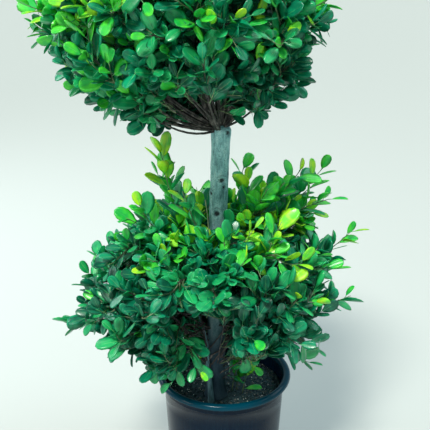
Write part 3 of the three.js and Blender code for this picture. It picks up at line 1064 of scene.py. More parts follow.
@dataclass
class Crown:
    """A flattened ball of foliage with bare arches under its front, by the source's own rule."""

    name: str
    trunk: Trunk
    centre: Rows
    radius: float
    half_height: float
    openings: tuple[Opening, ...]
    bulges: tuple[Patch, ...]
    # Patches of painted light: leaves dealt paler where the light falls brightest and darker where it is dim, the
    # pale ones partly young growth
    painted_light: tuple[Patch, ...]
    shoots: tuple[Shoot, ...]
    tiers: tuple[Tier, ...]
    bough_from: float
    bough_rise: float
    bough_thick: float
    branch_thick: float
    hollows: tuple[Patch, ...] = ()
    bough_tip: float = 2.4
    bough_collar: float = 2.6
    collar_from: float = 20.0
    collar_fade: float = 11.0
    heart_share: float = 0.45
    trunk_gap: float = 32.0
    over_head: float = 6.0
    over_pot: float = 306.0

    @property
    def forks(self) -> tuple[float, float]:
        """The lowest and highest place on the trunk that branches leave it at."""
        return self.bough_from, self.bough_from + self.bough_rise * 6

    def reach(self, ways: Rows) -> Rows:
        """Work out how far the foliage reaches from the centre.

        Args:
            ways: Directions, one a row.

        Returns:
            The reach along each.
        """
        size = np.array([self.radius, self.radius, self.half_height])
        reach = 1 / np.linalg.norm(ways / size, axis=1)
        for bulge in self.bulges:
            reach *= 1 + bulge.felt(ways)
        return reach

    def holds(self, points: Rows, share: float) -> Rows:
        """Find the points where foliage may be: off the open places, the pot and the trunk.

        Args:
            points: The points, one a row.
            share: Share of the reach that they have to lie within.

        Returns:
            Whether each point is one.
        """
        forward = self.trunk.head[1] - points[:, 1]
        bare = np.zeros(len(points), dtype=bool)
        for opening in self.openings:
            bare |= opening.holds(points, forward)
        out = points - self.centre
        within = np.linalg.norm(out, axis=1) < share * self.reach(unit(out))
        x, y, _ = self.trunk.waist
        off_trunk = np.hypot(points[:, 0] - x, points[:, 1] - y) > self.trunk_gap
        off_trunk |= points[:, 2] > self.trunk.head[2] + self.over_head
        return within & ~bare & off_trunk & (points[:, 2] > self.over_pot)

    def hearts(self) -> list[tuple[Rows, float]]:
        """Work out the hearts of the masses, tier by tier.

        Returns:
            The heart of each mass and the lift of its bough.
        """
        hearts = []
        for tier in self.tiers:
            for i in range(tier.masses):
                way = heading(tier.turn + 360 * i / tier.masses, tier.rise)
                reach = self.heart_share * float(self.reach(way[None])[0])
                hearts.append((self.centre + way * reach, tier.lift))
        return hearts

    def bough_radius_at(self, length: float, share: float) -> float:
        """Return a bough's radius at a share of its length, with its collar at the trunk's bark."""
        collar = self.bough_collar * math.exp(-max(share * length - self.collar_from, 0) / self.collar_fade)
        return self.bough_thick - (self.bough_thick - self.bough_tip) * share + collar

    def bough_path(self, order: int, heart: Rows, lift: float) -> Path:
        """Work out the way from the trunk's centre line to the heart of a mass.

        Args:
            order: The mass's number, from 0.
            heart: Where the path ends.
            lift: How far its middle rises, as a share of its span.

        Returns:
            The path.
        """
        start = self.trunk.axis_at(self.bough_from + self.bough_rise * order)
        middle = (start + heart) / 2
        middle[2] += lift * np.linalg.norm(heart - start)
        return Path(bowed(start, middle, heart, 40))


@dataclass(frozen=True)
class Habit:
    """How one kind of thin wood grows: its radius at foot and tip, and how its end is leafed.

    The leafy length and the size of the leaves, which is times the usual, count from the tip.
    """

    thick: float
    thin: float
    leafy: float = 110.0
    size: float = 1.0


class Leaf(NamedTuple):
    """Where a leaf's stalk leaves the twig, the leaf's own three axes, and its length."""

    root: Rows
    along: Rows
    across: Rows
    face: Rows
    length: float


def lengths(leaves: list[Leaf]) -> Rows:
    """Return the leaves' lengths as a column."""
    return np.array([leaf.length for leaf in leaves])[:, None]


class Rank(Enum):
    """Ranks of thin wood, by how many sides they are drawn with."""

    BRANCH = 7
    TWIG = 5


@dataclass(frozen=True)
class YoungShoot:
    """A young shoot out of the soil: its foot, its height, and where it leans in degrees from +X."""

    x: float
    y: float
    height: float
    lean: float
    tip_tone: float = 4.1

    @property
    def habit(self) -> Habit:
        """Thin wood that is leafed nearly down to the soil, with leaves that aren't full-grown."""
        return Habit(1.7, 0.8, self.height * 0.9, 0.88)


@dataclass
class LeafShape:
    """A fig leaf's blade: oval, widest past its middle, with a blunt tip, a sunken rib and arched halves.

    The blade is a closed skin of 36 faces, on a thin stalk that runs on along it as the pale rib.
    """

    stations: tuple[float, ...] = (0.09, 0.28, 0.54, 0.78, 0.93)
    widths: tuple[float, ...] = (0.33, 0.76, 1.0, 0.92, 0.58)
    columns: tuple[float, ...] = (-1.0, -0.5, 0.0, 0.5, 1.0)
    width_share: float = 0.6
    stalk: float = 8.0
    thickness: float = 0.6
    rib_stations: tuple[float, ...] = (0.0, 0.02, 0.45, 0.9)
    rib_radii: tuple[float, ...] = (0.95, 0.85, 0.55, 0.2)
    rib_lift: tuple[float, ...] = (0.0, 0.1, 0.15, 0.1)

    def blade_faces(self) -> list[Rows]:
        """Number the faces of one blade, whose corners are its base, its tip, its top and its rib's underside.

        Returns:
            The faces of four corners, and those of three.
        """
        rows, columns = len(self.stations), len(self.columns)
        top = 2 + np.arange(rows * columns).reshape(rows, columns)
        under = 2 + rows * columns + np.arange(rows)
        base, tip, left, right = 0, 1, top[:, 0], top[:, -1]
        quads, threes = [], []
        for i in range(columns - 1):
            near, far = top[:, i], top[:, i + 1]
            threes += [(base, near[0], far[0]), (near[-1], tip, far[-1])]
            quads += zip(near[:-1], near[1:], far[1:], far[:-1], strict=True)
        threes += [(base, right[0], under[0]), (base, under[0], left[0])]
        threes += [(tip, under[-1], right[-1]), (tip, left[-1], under[-1])]
        for i in range(rows - 1):
            quads.append((under[i], right[i], right[i + 1], under[i + 1]))
            quads.append((left[i], under[i], under[i + 1], left[i + 1]))
        return [np.array(quads), np.array(threes)]

    def width_at(self, t: Rows) -> Rows:
        """Return the blade's width at shares of its length, as a share of its greatest width."""
        return np.interp(t, (0.0, *self.stations, 1.0), (0.0, *self.widths, 0.0))

    def height_at(self, t: Rows, v: Rows, leaves: list[Leaf]) -> Rows:
        """Work out how high points of the blades stand above the plane through the rib's foot.

        Args:
            t: Share of the blade's length of each point.
            v: Its distance from the rib, as a share of the half width there.
            leaves: The leaves, each folded and drooping by its own place, so that blade and rib agree.

        Returns:
            A row of heights for each leaf.
        """
        spin = np.array([math.sin(float(leaf.root @ (1.7, 2.3, 3.1))) for leaf in leaves])[:, None]
        other = np.array([math.sin(float(leaf.root @ (3.3, 1.1, 2.7))) for leaf in leaves])[:, None]
        fold, droop = 0.24 + 0.18 * spin, 0.07 + 0.12 * other
        arch = 1.55 * np.abs(v) - 0.85 * v**2
        return lengths(leaves) * (self.width_share / 2 * self.width_at(t) * arch * fold - droop * t**2)

    def join(self, name: str, leaves: list[Leaf], local: Rows, faces: list[Rows]) -> Piece:
        """Carry each leaf's corners from its own axes into space, and join them.

        Args:
            name: The piece's name.
            leaves: The leaves.
            local: Corners of each leaf along, across and above it.
            faces: The faces of one leaf.

        Returns:
            The object.
        """
        root, along, across, face = (np.array([leaf[i] for leaf in leaves])[:, None] for i in range(4))
        corners = root + local[..., :1] * along + local[..., 1:2] * across + local[..., 2:] * face
        return joined_piece(name, corners.reshape(-1, 3), copied_faces(faces, local.shape[1], len(leaves)))

    def blades(self, name: str, leaves: list[Leaf], random: np.random.Generator) -> Piece:
        """Join the blades of many leaves into one mesh.

        Args:
            name: The piece's name.
            leaves: The leaves.
            random: Random numbers, for how broad each blade is.

        Returns:
            The object.
        """
        length, rows = lengths(leaves), len(self.stations)
        broad = random.uniform(0.9, 1.12, length.shape)
        t = np.array([0.0, 1.0, *np.repeat(self.stations, len(self.columns)), *self.stations])
        v = np.array([0.0, 0.0, *(self.columns * rows), *([0.0] * rows)])
        across = length * broad * (self.width_share / 2) * (self.width_at(t) * v)[None]
        above = self.height_at(t[None], v[None], leaves)
        above[:, -rows:] -= self.thickness
        local = np.stack([self.stalk + length * t[None], across, above], axis=-1)
        return self.join(name, leaves, local, self.blade_faces())

    def stalks(self, name: str, leaves: list[Leaf]) -> Piece:
        """Join the three-sided stalks of many leaves, each run on as the pale rib along its blade.

        Args:
            name: The piece's name.
            leaves: The leaves.

        Returns:
            The object.
        """
        t, radius = np.array(self.rib_stations), np.array(self.rib_radii)[:, None]
        along = self.stalk + lengths(leaves) * t[None]
        along[:, 0] = 0
        above = self.height_at(t[None], 0 * t[None], leaves) + np.array(self.rib_lift)
        turns = np.arange(3) * math.tau / 3 + math.pi / 2
        across = np.broadcast_to((radius * np.cos(turns)).ravel(), (len(leaves), 3 * len(t)))
        above = np.repeat(above, 3, axis=1) + (radius * np.sin(turns)).ravel()
        local = np.stack([np.repeat(along, 3, axis=1), across, above], axis=-1)
        here = np.arange(3 * len(t) - 3).reshape(-1, 3)
        there = np.roll(here, -1, axis=1)
        quads = np.stack([here, there, there + 3, here + 3], axis=-1).reshape(-1, 4)
        last = 3 * len(t)
        return self.join(name, leaves, local, [quads, np.array([(2, 1, 0), (last - 3, last - 2, last - 1)])])


class Finishes:
    """The materials of the living parts, each made once."""

    def __init__(self) -> None:
        """Make the materials."""
        self.leaf = {tone: finish.make() for tone, finish in LEAF_FINISHES.items()}
        self.stalk = STALK_SKIN.make()
        self.bough = BOUGH_BARK.make()
        self.twig = TWIG_BARK.make()


@dataclass
class Foliage:
    """Boughs, branches, twigs and leaves of one crown, grown by seeded random numbers.

    Sprigs are given by their knots, and sprays that hang in the open before the arch by their tips.
    """

    crown: Crown
    seed: int
    skin_twigs: int
    inner_twigs: int
    young_shoots: tuple[YoungShoot, ...] = ()
    sprigs: tuple[tuple[Place, ...], ...] = ()
    sprays: tuple[Place, ...] = ()
    twig: Habit = Habit(1.7, 0.8)
    side_branch: Habit = Habit(2.7, 1.2)
    long_shoot: Habit = Habit(2.1, 0.9, 185.0, 1.04)
    spray: Habit = Habit(1.9, 0.8, 78.0)
    sprig: Habit = Habit(2.3, 1.1, 34.0, 0.64)
    fan: int = 24
    fan_thick: tuple[float, float] = (1.3, 2.3)
    branches: int = 92
    branch_shares: tuple[float, float] = (0.86, 0.98)
    skin_shares: tuple[float, float] = (0.78, 1.0)
    inner_shares: tuple[float, float] = (0.55, 0.8)
    overhang: float = 33.0
    lump_scale: float = 4.2
    long_chance: float = 0.07
    long_share: float = 0.7
    fork_angle: float = 0.6
    sweep: float = 0.2
    most: float = 1.03
    leaf_length: tuple[float, float] = (39.0, 56.0)
    leaf_step: float = 13.6
    leaf_turn: float = 2.4
    face_out: float = 0.42
    face_up: float = 0.78
    tone_steps: tuple[float, ...] = (0.3, 0.7, 1.1, 1.4)

    def __post_init__(self) -> None:
        """Start the random numbers and the growth, and find the boughs' ways."""
        self.random = np.random.default_rng(SEED + self.seed)
        self.lines: dict[Rank, list[tuple[Rows, Habit]]] = {rank: [] for rank in Rank}
        self.leaves: dict[Tone, list[Leaf]] = {tone: [] for tone in Tone}
        self.boughs = [self.crown.bough_path(i, *heart) for i, heart in enumerate(self.crown.hearts())]

    # -- wood --

    def grow(self, rank: Rank, points: Rows, habit: Habit) -> Path:
        """Keep the points of a woody line with its habit, and return it as a path."""
        self.lines[rank].append((points, habit))
        return Path(points)

    def targets(self, count: int, shares: tuple[float, float], offset: float) -> Rows:
        """Find tips spread evenly under the crown's skin.

        Args:
            count: Directions over the whole ball.
            shares: Least and most share of the reach.
            offset: Radians that the set of directions is turned by.

        Returns:
            The tips that lie in the crown, one a row.
        """
        ways = unit(even_ways(count, offset) + self.random.normal(0, 0.035, (count, 3)))
        # Lumps about 15 degrees wide stand out of the ball, with hollows between them
        own_noise = Vector((self.seed, offset, 0))
        lumps = np.array([noise.noise(Vector(way) * self.lump_scale + own_noise) for way in ways])
        depth = 0.5 + 0.55 * lumps + self.random.normal(0, 0.22, count)
        depth -= sum(hollow.felt(ways) for hollow in self.crown.hollows)
        depth += self.long_share * (self.random.uniform(size=count) < self.long_chance)
        share = shares[0] + (shares[1] - shares[0]) * np.clip(depth, -0.4, 1)
        tips = self.crown.centre + ways * (share * self.crown.reach(ways) - self.overhang)[:, None]
        return tips[self.crown.holds(tips, 1.0)]

    def branch_from_trunk(self, tip: Rows) -> Rows:
        """Lead a branch from the trunk itself.

        Args:
            tip: Its tip.

        Returns:
            Its points.
        """
        start = self.crown.trunk.axis_at(self.random.uniform(*self.crown.forks))
        middle = (start + tip) / 2
        span = float(np.linalg.norm(tip - start))
        middle[2] += self.crown.tiers[0].lift * span * self.random.uniform(0.5, 1.0)
        return bowed(start, middle + self.random.normal(0, 12, 3), tip, 14)

    def branch_from_bough(self, bough: Path, tip: Rows) -> Rows:
        """Lead a branch from where it forks from a bough at the most natural angle.

        Args:
            bough: The bough.
            tip: The branch's tip.

        Returns:
            Its points.
        """
        shares = np.linspace(0.45, 0.98, 12)
        starts, ahead = bough.at(shares), bough.ahead(shares)
        gaps = tip - starts
        angle = np.arccos(np.clip(np.sum(unit(gaps) * ahead, axis=1), -1, 1))
        pick = int(np.argmin(np.abs(angle - self.fork_angle) + self.random.uniform(0, 0.25, len(shares))))
        start, gap = starts[pick], float(np.linalg.norm(gaps[pick]))
        middle = start + ahead[pick] * gap * 0.42 + gaps[pick] * 0.16 + self.random.normal(0, 6, 3)
        return bowed(start, middle, tip, 10)

    def grow_branches(self) -> None:
        """Grow the branches: some of the low ones from the trunk, the rest from the boughs' outer half."""
        hearts = np.array([heart for heart, _ in self.crown.hearts()])
        from_trunk = Habit(self.crown.branch_thick, self.side_branch.thin)
        for order, tip in enumerate(self.targets(self.branches, self.branch_shares, 0.0)):
            rise = (tip[2] - self.crown.centre[2]) / self.crown.half_height
            if order % 3 == 0 and rise < 0.35:
                self.grow(Rank.BRANCH, self.branch_from_trunk(tip), from_trunk)
            else:
                bough = self.boughs[nearest(hearts, tip)]
                self.grow(Rank.BRANCH, self.branch_from_bough(bough, tip), self.side_branch)

    def grow_fan(self) -> None:
        """Grow bare branches that spread from the trunk to the lower inside of the crown."""
        crown = self.crown
        ways = even_ways(self.fan * 3, 2.6)
        ways = ways[(ways[:, 2] < 0.15) & (ways[:, 2] > -0.8)]
        share = self.random.uniform(0.5, 0.8, len(ways))
        tips = crown.centre + ways * (share * crown.reach(ways))[:, None]
        for tip in tips[crown.holds(tips, 1.0)]:
            start = crown.trunk.axis_at(self.random.uniform(*crown.forks))
            middle = start * 0.4 + tip * 0.6 + self.random.normal(0, 9, 3)
            middle[2] += crown.tiers[0].lift * float(np.linalg.norm(tip - start)) * self.random.uniform(0.1, 0.9)
            self.grow(Rank.BRANCH, bowed(start, middle, tip, 14), Habit(self.random.uniform(*self.fan_thick), 0.9))

    def grow_twigs(self) -> None:
        """Grow leafy twigs to tips all over the crown, each from the branch that suits it best."""
        paths = [(Path(points), np.linspace(0.35, 0.96, 8)) for points, _ in self.lines[Rank.BRANCH]]
        paths += [(bough, np.linspace(0.65, 1, 4)) for bough in self.boughs]
        starts = np.concatenate([path.at(shares) for path, shares in paths])
        ahead = np.concatenate([path.ahead(shares) for path, shares in paths])
        skin = self.targets(self.skin_twigs, self.skin_shares, 0.7)
        inner = self.targets(self.inner_twigs, self.inner_shares, 1.9)
        for tip in np.concatenate([skin, inner]):
            gaps = tip - starts
            length = np.linalg.norm(gaps, axis=1)
            bend = 1 - np.sum(gaps * ahead, axis=1) / np.maximum(length, 1)
            # A bend weighs as much as 70 mm more of twig, and a twig under 52 mm as much as 200 mm more
            pick = int(np.argmin(length + 70 * bend + 200 * (length < 52)))
            bow = ahead[pick] * 0.3 * length[pick] + gaps[pick] * 0.24 + self.random.normal(0, 4, 3)
            bow -= UP * self.sweep * length[pick]
            path = self.grow(Rank.TWIG, bowed(starts[pick], starts[pick] + bow, tip, 6), self.twig)
            self.add_leaves(path, self.twig, self.tone_at(tip), self.most)
        for points, _ in self.lines[Rank.BRANCH]:
            self.add_leaves(Path(points), self.twig, self.tone_at(points[-1]), self.most)

    def grow_shoots(self) -> None:
        """Grow the long shoots, with pale new leaves at their tips."""
        centre = self.crown.centre
        starts = np.concatenate([Path(points).at([0.4, 0.6, 0.8]) for points, _ in self.lines[Rank.BRANCH]])
        for shoot in self.crown.shoots:
            way = heading(shoot.turn, shoot.rise)
            usual = float(self.crown.reach(way[None])[0])
            # The wood ends 26 mm short of the shoot's reach, since the last leaf stands beyond it
            tip, foot = centre + way * (shoot.reach - 26), centre + way * usual * 0.55
            start = starts[nearest(starts, foot)]
            middle = start * 0.45 + tip * 0.55 + self.random.normal(0, 10, 3) - UP * 8
            path = self.grow(Rank.TWIG, bowed(start, middle, tip, 9), self.long_shoot)
            most = max(shoot.reach / usual, 1.0) * self.most
            self.add_leaves(path, self.long_shoot, Tone.MID, most, shoot.tip_tone)

    def grow_open_wood(self) -> None:
        """Grow what stands in the open: leafy sprays, young shoots out of the soil and crooked thin sprigs."""
        starts = np.concatenate([bough.at([0.4, 0.55, 0.7, 0.85]) for bough in self.boughs])
        for tip in np.array(self.sprays).reshape(-1, 3):
            start = starts[nearest(starts, tip)]
            middle = start * 0.4 + tip * 0.6 + self.random.normal(0, 6, 3) + UP * 14
            path = self.grow(Rank.TWIG, bowed(start, middle, tip, 9), self.spray)
            self.add_leaves(path, self.spray, Tone.MID)
        for shoot in self.young_shoots:
            foot = np.array([shoot.x, shoot.y, self.crown.trunk.foot[2] - 8])
            tip = foot + UP * (shoot.height + 8) + heading(shoot.lean, 0) * shoot.height * 0.22
            middle = (foot + tip) / 2 + heading(shoot.lean + 140, 0) * 5
            path = self.grow(Rank.TWIG, bowed(foot, middle, tip, 8), shoot.habit)
            self.add_leaves(path, shoot.habit, Tone.MID, tip_tone=shoot.tip_tone)
        for knots in self.sprigs:
            points = smooth_through(np.array(knots), 6)
            points[1:-1] += self.random.normal(0, 0.7, points[1:-1].shape)
            self.add_leaves(self.grow(Rank.BRANCH, points, self.sprig), self.sprig, Tone.MATURE)

    # -- leaves --

    def tone_at(self, tip: Rows) -> Tone:
        """Deal a tone to a spray: paler sprays are likelier high up and far out.

        Args:
            tip: The spray's tip.

        Returns:
            The tone.
        """
        out = tip - self.crown.centre
        way = unit(out)[None]
        depth = float(np.linalg.norm(out) / self.crown.reach(way)[0])
        score = self.random.uniform() + 0.25 * (out[2] / self.crown.half_height) + 1.1 * (depth - 0.8)
        # Painted light: the patches deal paler leaves where the light falls brightest and darker ones where it is
        # dim; the pale ones partly stand for young growth
        score += float(sum(patch.felt(way)[0] for patch in self.crown.painted_light))
        return Tone(int(np.searchsorted(self.tone_steps, score))) if depth >= 0.62 else Tone.DEEP

    def add_leaves(
        self, path: Path, habit: Habit, tone: Tone, most: float = 0.0, tip_tone: float | None = None
    ) -> None:
        """Set leaves in a spiral along the outer end of a twig.

        Args:
            path: The twig.
            habit: How it is leafed.
            tone: The tone of its leaves.
            most: Times the crown's reach that no leaf passes, or 0 for a twig in the open.
            tip_tone: Tone at the tip of a long shoot, whose leaves grow paler towards it.
        """
        paling = tip_tone is not None
        step = self.leaf_step * (1.15 if paling else min(habit.size, 1.0))
        back = np.arange(0.5, min(habit.leafy, path.length * 0.86), step)
        if not len(back):
            return
        count = len(back)
        back = back + self.random.uniform(-2, 2, count) * (back > 1)
        shares = 1 - back / path.length
        roots, ahead = path.at(shares), path.ahead(shares)
        spiral = self.random.uniform(0, math.tau) + np.arange(count) * self.leaf_turn
        side = spun_about(unit(np.cross(ahead, UP) + 1e-6), ahead, spiral + self.random.normal(0, 0.25, count))
        # A leaf stands off the twig by 36 to 64 degrees, and the last two, just out, by less
        splay = self.random.uniform(0.62, 1.12, count)
        splay[:2] = self.random.uniform(0.35, 0.75, min(2, count))
        cosine, sine = np.cos(splay)[:, None], np.sin(splay)[:, None]
        # Blades turn to the light: upwards, and away from the crown's centre or, in the open, its axis
        out = unit((roots - self.crown.centre) * (1, 1, 1 if most else 0))
        along = unit(ahead * cosine + side * sine + out * 0.15 + UP * self.random.normal(0.2, 0.16, (count, 1)))
        face = (ahead * sine - side * cosine) * 0.55 + out * self.face_out + UP * self.face_up
        across = unit(np.cross(face + self.random.normal(0, 0.34, (count, 3)), along))
        face = np.cross(along, across)
        length = self.random.uniform(*self.leaf_length, count) * habit.size
        length[:2] *= self.random.uniform(0.62, 0.9, min(2, count))
        if paling:
            # Leaves of vigorous young wood are up to a tenth longer, most of all 30 mm from its tip
            length *= np.interp(back, [0, 30, 120], [1.06, 1.1, 1.08])
        fits = np.ones(count, dtype=bool)
        if most:
            stalk, sides = LeafShape.stalk, length[:, None] * 0.3 * across
            middle = roots + along * (length * 0.6 + stalk)[:, None]
            for corners in (roots + along * (length + stalk)[:, None], middle + sides, middle - sides):
                fits &= self.crown.holds(corners, most)
        for i in np.flatnonzero(fits):
            leaf = Leaf(roots[i], along[i], across[i], face[i], length[i])
            self.leaves[self.leaf_tone(tone, float(back[i]), tip_tone)].append(leaf)

    def leaf_tone(self, tone: Tone, back: float, tip_tone: float | None) -> Tone:
        """Deal a tone to one leaf: the ones just out at a tip are paler than their spray.

        Args:
            tone: The spray's tone.
            back: How far the leaf stands from the tip.
            tip_tone: Tone at the tip of a long shoot.

        Returns:
            The tone.
        """
        chance = self.random.uniform()
        if tip_tone is not None:
            pale = tip_tone - back / 56 + self.random.normal(0, 0.5)
            return Tone(int(np.clip(round(pale), min(int(tip_tone), 2) - 1, 4)))
        if back < 14 and tone is not Tone.DEEP and chance < 0.45:
            return Tone(min(tone.value + (2 if chance < 0.1 else 1), 4))
        if back > 50 and chance < 0.5:
            return Tone(max(tone.value - 1, 0))
        return tone

    # -- meshes --

    def wood(self, name: str, rank: Rank) -> Piece:
        """Join all woody lines of a rank into one mesh of tapering closed tubes.

        Args:
            name: The piece's name.
            rank: Which lines.

        Returns:
            The object.
        """
        sides, first = rank.value, 0
        turns, order = np.arange(sides) * math.tau / sides, np.arange(sides)
        following = (order + 1) % sides
        corners, faces, caps = [], [], []
        for points, habit in self.lines[rank]:
            count, path = len(points), Path(points)
            ahead = path.ahead(path.along / path.length)
            steady = UP if abs(ahead[:, 2].mean()) < 0.8 else np.array([1.0, 0.0, 0.0])
            side = unit(np.cross(ahead, steady))
            other = np.cross(ahead, side)
            radius = habit.thick + (habit.thin - habit.thick) * np.linspace(0, 1, count) ** 0.8
            ring = side[:, None] * np.cos(turns)[None, :, None] + other[:, None] * np.sin(turns)[None, :, None]
            corners.append((points[:, None] + ring * radius[:, None, None]).reshape(-1, 3))
            starts = first + np.arange(count - 1)[:, None] * sides
            here, there = starts + order, starts + following
            faces.append(np.stack([here, there, there + sides, here + sides], axis=-1).reshape(-1, 4))
            last = first + (count - 1) * sides
            caps += [first + order[::-1], last + order]
            first = last + sides
        return joined_piece(name, np.concatenate(corners), [np.concatenate(faces), np.array(caps)])

    def bough_pieces(self, name: str) -> Piece:
        """Join the boughs, each a limb with bark relief that swells where it leaves the trunk.

        Args:
            name: The piece's name.

        Returns:
            The object.
        """
        mesh, whole = bpy.data.meshes.new(name), bmesh.new()
        for path in self.boughs:
            radius_at = partial(self.crown.bough_radius_at, path.length)
            shape = Limb(path, radius_at, sides=12, ring_gap=5.0, relief=0.5).build()
            shape.to_mesh(mesh)
            shape.free()
            whole.from_mesh(mesh)
        bpy.data.meshes.remove(mesh)
        return piece_from(name, whole)

    def build(self, finishes: Finishes) -> None:
        """Grow the crown, make its pieces and dress them.

        Args:
            finishes: The materials.
        """
        for step in (self.grow_branches, self.grow_fan, self.grow_twigs, self.grow_shoots, self.grow_open_wood):
            step()
        name, numbers = self.crown.name, range(1, len(self.boughs) + 1)
        masses = [f"{name}_foliage_{i}" for i in numbers]
        boughs = [f"{name}_bough_{i}" for i in numbers]
        keep(self.bough_pieces(f"{name}_boughs"), finishes.bough, boughs)
        keep(self.wood(f"{name}_branches", Rank.BRANCH), finishes.bough)
        keep(self.wood(f"{name}_twigs", Rank.TWIG), finishes.twig)
        shape, every = LeafShape(), []
        for tone, leaves in self.leaves.items():
            every += leaves
            if leaves:
                piece = shape.blades(f"{name}_leaves_{tone.name.lower()}", leaves, self.random)
                keep(piece, finishes.leaf[tone], masses)
        keep(shape.stalks(f"{name}_leaf_stalks", every), finishes.stalk)
        log.info("%s crown: %d leaves", name, len(every))


def lower_foliage(trunk: Trunk) -> Foliage:
    """Plan the lower ball, wide and loose, with the source's own numbers.

    Args:
        trunk: The trunk.

    Returns:
        Its foliage, not yet grown.
    """
    shoots = (
        (180, 71, 390), (206, 69, 355), (238, 67, 320), (262, 73, 280), (212, 52, 330), (204, 44, 318),
        (344, 72, 322), (325, 60, 345), (342, 57, 358), (350, 55, 405), (8, 44, 372), (5, 47, 430),
        (359, 38, 385), (318, 45, 330), (4, 20, 395), (352, -2, 372, 3.0), (205, -28, 335, 2.0),
        (328, -18, 338, 2.2), (188, -14, 380, 2.4), (341, -35, 332, 2.2),
        (62, 54, 345), (130, 48, 345), (98, 30, 350),
    )
    crown = Crown(
        name="lower",
        trunk=trunk,
        centre=np.array([-36.0, -35.0, 566.0]),
        radius=338,
        half_height=216,
        openings=(
            Opening(-50, 64, 472, 0.5),
            Opening(75, 55, 352, 0.58, 90),
            Opening(-25, 21, 716, 0.36, notch=True),
        ),
        bulges=(Patch(0, 38, 0.36, 40), Patch(185, -18, 0.08, 35), Patch(300, -35, 0.08, 35)),
        hollows=(
            Patch(2, -6, 0.8, 34),
            Patch(354, 44, 0.5, 28),
            Patch(180, 24, 0.35, 30),
            Patch(335, -32, 0.7, 32),
        ),
        # Painted light by leaf tone: paler leaves at the lit top right and upper left, darker ones low at the
        # front
        painted_light=(Patch(350, 50, 1.1, 32), Patch(222, 62, 0.8, 26), Patch(275, -12, -0.22, 60)),
        shoots=tuple(Shoot(*row) for row in shoots),
        tiers=(Tier(5, 234, -12, 0.1), Tier(3, 276, 46, 0.05)),
        bough_from=310,
        bough_rise=30,
        bough_thick=3.8,
        branch_thick=2.3,
    )
    return Foliage(
        crown,
        seed=1,
        skin_twigs=540,
        inner_twigs=230,
        young_shoots=(
            YoungShoot(20, -30, 128, 10),
            YoungShoot(34, -24, 100, 60),
            YoungShoot(48, -40, 72, -40),
            YoungShoot(-70, 40, 70, 120),
        ),
        sprigs=(
            ((-38, -76, 352), (-31, -78, 363), (-6, -84, 399), (19, -92, 426), (53, -100, 439)),
            ((-42, -72, 390), (-38, -75, 402), (-16, -80, 436), (6, -86, 473), (16, -90, 512)),
            ((-41, -72, 380), (-47, -76, 402), (-61, -80, 430), (-80, -84, 477)),
            ((-39, -74, 368), (-30, -77, 386), (-6, -80, 405), (16, -82, 448), (38, -84, 478)),
            ((-20, -52, 285), (-14, -62, 298), (0, -66, 316), (24, -72, 342)),
            ((-43, -70, 404), (-50, -76, 440), (-58, -84, 500)),
        ),
        sprays=(
            (-124, -210, 392),
            (-62, -206, 420),
            (-76, -196, 462),
            (-112, -205, 478),
            (-150, -200, 425),
            (66, -150, 402),
        ),
        sweep=0.4,
    )


def upper_foliage(trunk: Trunk) -> Foliage:
    """Plan the upper ball, dense over its fan of boughs, with the source's own numbers.

    Args:
        trunk: The trunk.

    Returns:
        Its foliage, not yet grown.
    """
    shoots = (
        (184, 14, 374, 2.6), (194, 3, 372), (176, -8, 366, 2.4), (2, 20, 345), (340, 6, 345),
        (60, 62, 300), (250, 66, 295), (290, 30, 330), (240, 20, 340), (120, 20, 345),
    )
    crown = Crown(
        name="upper",
        trunk=trunk,
        centre=np.array([-84.0, -35.0, 1222.0]),
        radius=332,
        half_height=254,
        openings=(Opening(-61, 76, 1008, 0.19), Opening(-66, 66, 1030, 0.19)),
        bulges=(Patch(182, 4, 0.09, 30), Patch(325, -42, 0.07, 30), Patch(146, -60, 0.17, 36)),
        # Painted light by leaf tone: paler leaves on the left and over the front
        painted_light=(Patch(200, 12, 0.5, 40), Patch(265, 45, 0.3, 36), Patch(268, -10, 0.25, 60)),
        shoots=tuple(Shoot(*row) for row in shoots),
        tiers=(Tier(5, 198, -16, -0.32), Tier(3, 240, 36, -0.16), Tier(1, 0, 86, 0)),
        bough_from=954,
        bough_rise=1.2,
        bough_thick=5.6,
        branch_thick=3.3,
    )
    return Foliage(
        crown,
        seed=2,
        skin_twigs=620,
        inner_twigs=260,
        fan=34,
        fan_thick=(2.2, 3.8),
        face_out=0.72,
        face_up=0.6,
    )


# ---- Stage -------------------------------------------------------------------------------------


class LampKind(Enum):
    """Kinds of lamp: far off, or a square softbox."""

    SUN = "SUN"
    SOFTBOX = "AREA"


@dataclass(frozen=True)
class Lamp:
    """A soft lamp at a place in metres, or for a sun in a direction.

    A sun's size is its width in degrees and its power watts on a square metre. A softbox has
    the length of its side in metres, and watts.
    """

    name: str
    kind: LampKind
    place: Place
    size: float
    power: float
    colour: str

    def hang(self) -> None:
        """Put the lamp in the scene, turned to the plant."""
        data = bpy.data.lights.new(self.name, self.kind.value)
        data.energy, data.color = self.power, linear(self.colour)[:3]
        lamp, way = linked(self.name, data), Vector(self.place)
        if self.kind is LampKind.SUN:
            data.angle = math.radians(self.size)
        else:
            data.size = self.size
            lamp.location = self.place
            way -= Vector((0, 0, 0.8))
        lamp.rotation_euler = way.to_track_quat("Z", "Y").to_euler()


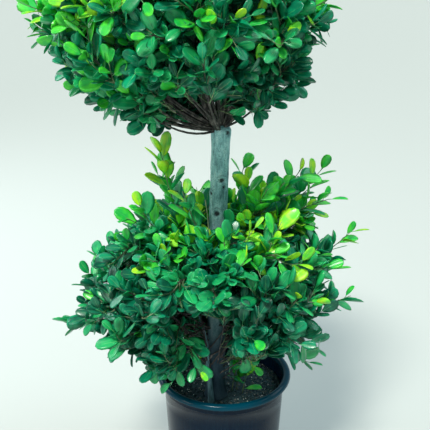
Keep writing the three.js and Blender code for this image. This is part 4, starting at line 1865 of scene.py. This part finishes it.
@dataclass
class Studio:
    """A pale floor, soft light and the camera at the photograph's angle.

    The light is the photograph's open shade: bright sky above, soft from the left.
    """

    camera_place: Place = (-0.0235, -1.735, 1.354)
    pitch: float = 19.7
    lens: float = 62.79
    sky_colour: str = "#dcf2f4"
    sky_strength: float = 0.42
    lamps: tuple[Lamp, ...] = (
        Lamp("key_sun", LampKind.SUN, (-0.35, -0.75, 1.25), 14.0, 3.2, "#fffdf4"),
        Lamp("sky_sun", LampKind.SUN, (0.75, 0.25, 1.1), 50.0, 1.5, "#dff4ff"),
        Lamp("sheen_softbox", LampKind.SOFTBOX, (-2.6, 1.3, 2.6), 2.2, 70.0, "#f0f8ff"),
        Lamp("side_softbox", LampKind.SOFTBOX, (-2.5, -1.5, 1.0), 0.9, 14.0, "#fff2e6"),
    )

    def floor(self) -> None:
        """Lay the floor."""
        shape = bmesh.new()
        bmesh.ops.create_circle(shape, cap_ends=True, segments=96, radius=30.0)
        piece = piece_from("studio_floor", shape)
        piece.data.materials.append(FLOOR_PAINT.make())

    def light(self) -> None:
        """Light the studio."""
        world = bpy.data.worlds.new("studio_sky")
        world.use_nodes = True
        background = world.node_tree.nodes["Background"]
        background.inputs["Color"].default_value = linear(self.sky_colour)
        background.inputs["Strength"].default_value = self.sky_strength
        bpy.context.scene.world = world
        for lamp in self.lamps:
            lamp.hang()

    def camera(self) -> None:
        """Stand the camera where the photograph was taken."""
        data = bpy.data.cameras.new("camera")
        data.sensor_width = 36.0
        data.lens = self.lens
        camera = linked("camera", data)
        camera.location = self.camera_place
        camera.rotation_euler = (math.radians(90 - self.pitch), 0, 0)
        bpy.context.scene.camera = camera

    def build(self) -> None:
        """Make the stage, and show colours as they are."""
        self.floor()
        self.light()
        self.camera()
        bpy.context.scene.view_settings.view_transform = "Standard"


def main() -> None:
    """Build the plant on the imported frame, piece by piece."""
    logging.basicConfig(level=logging.INFO, format="%(name)s: %(message)s")
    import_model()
    pot, trunk, finishes = Pot(), Trunk(), Finishes()
    pot.build()
    Soil(pot).build()
    trunk.build()
    lower_foliage(trunk).build(finishes)
    upper_foliage(trunk).build(finishes)
    Studio().build()


if __name__ == "__main__":
    main()
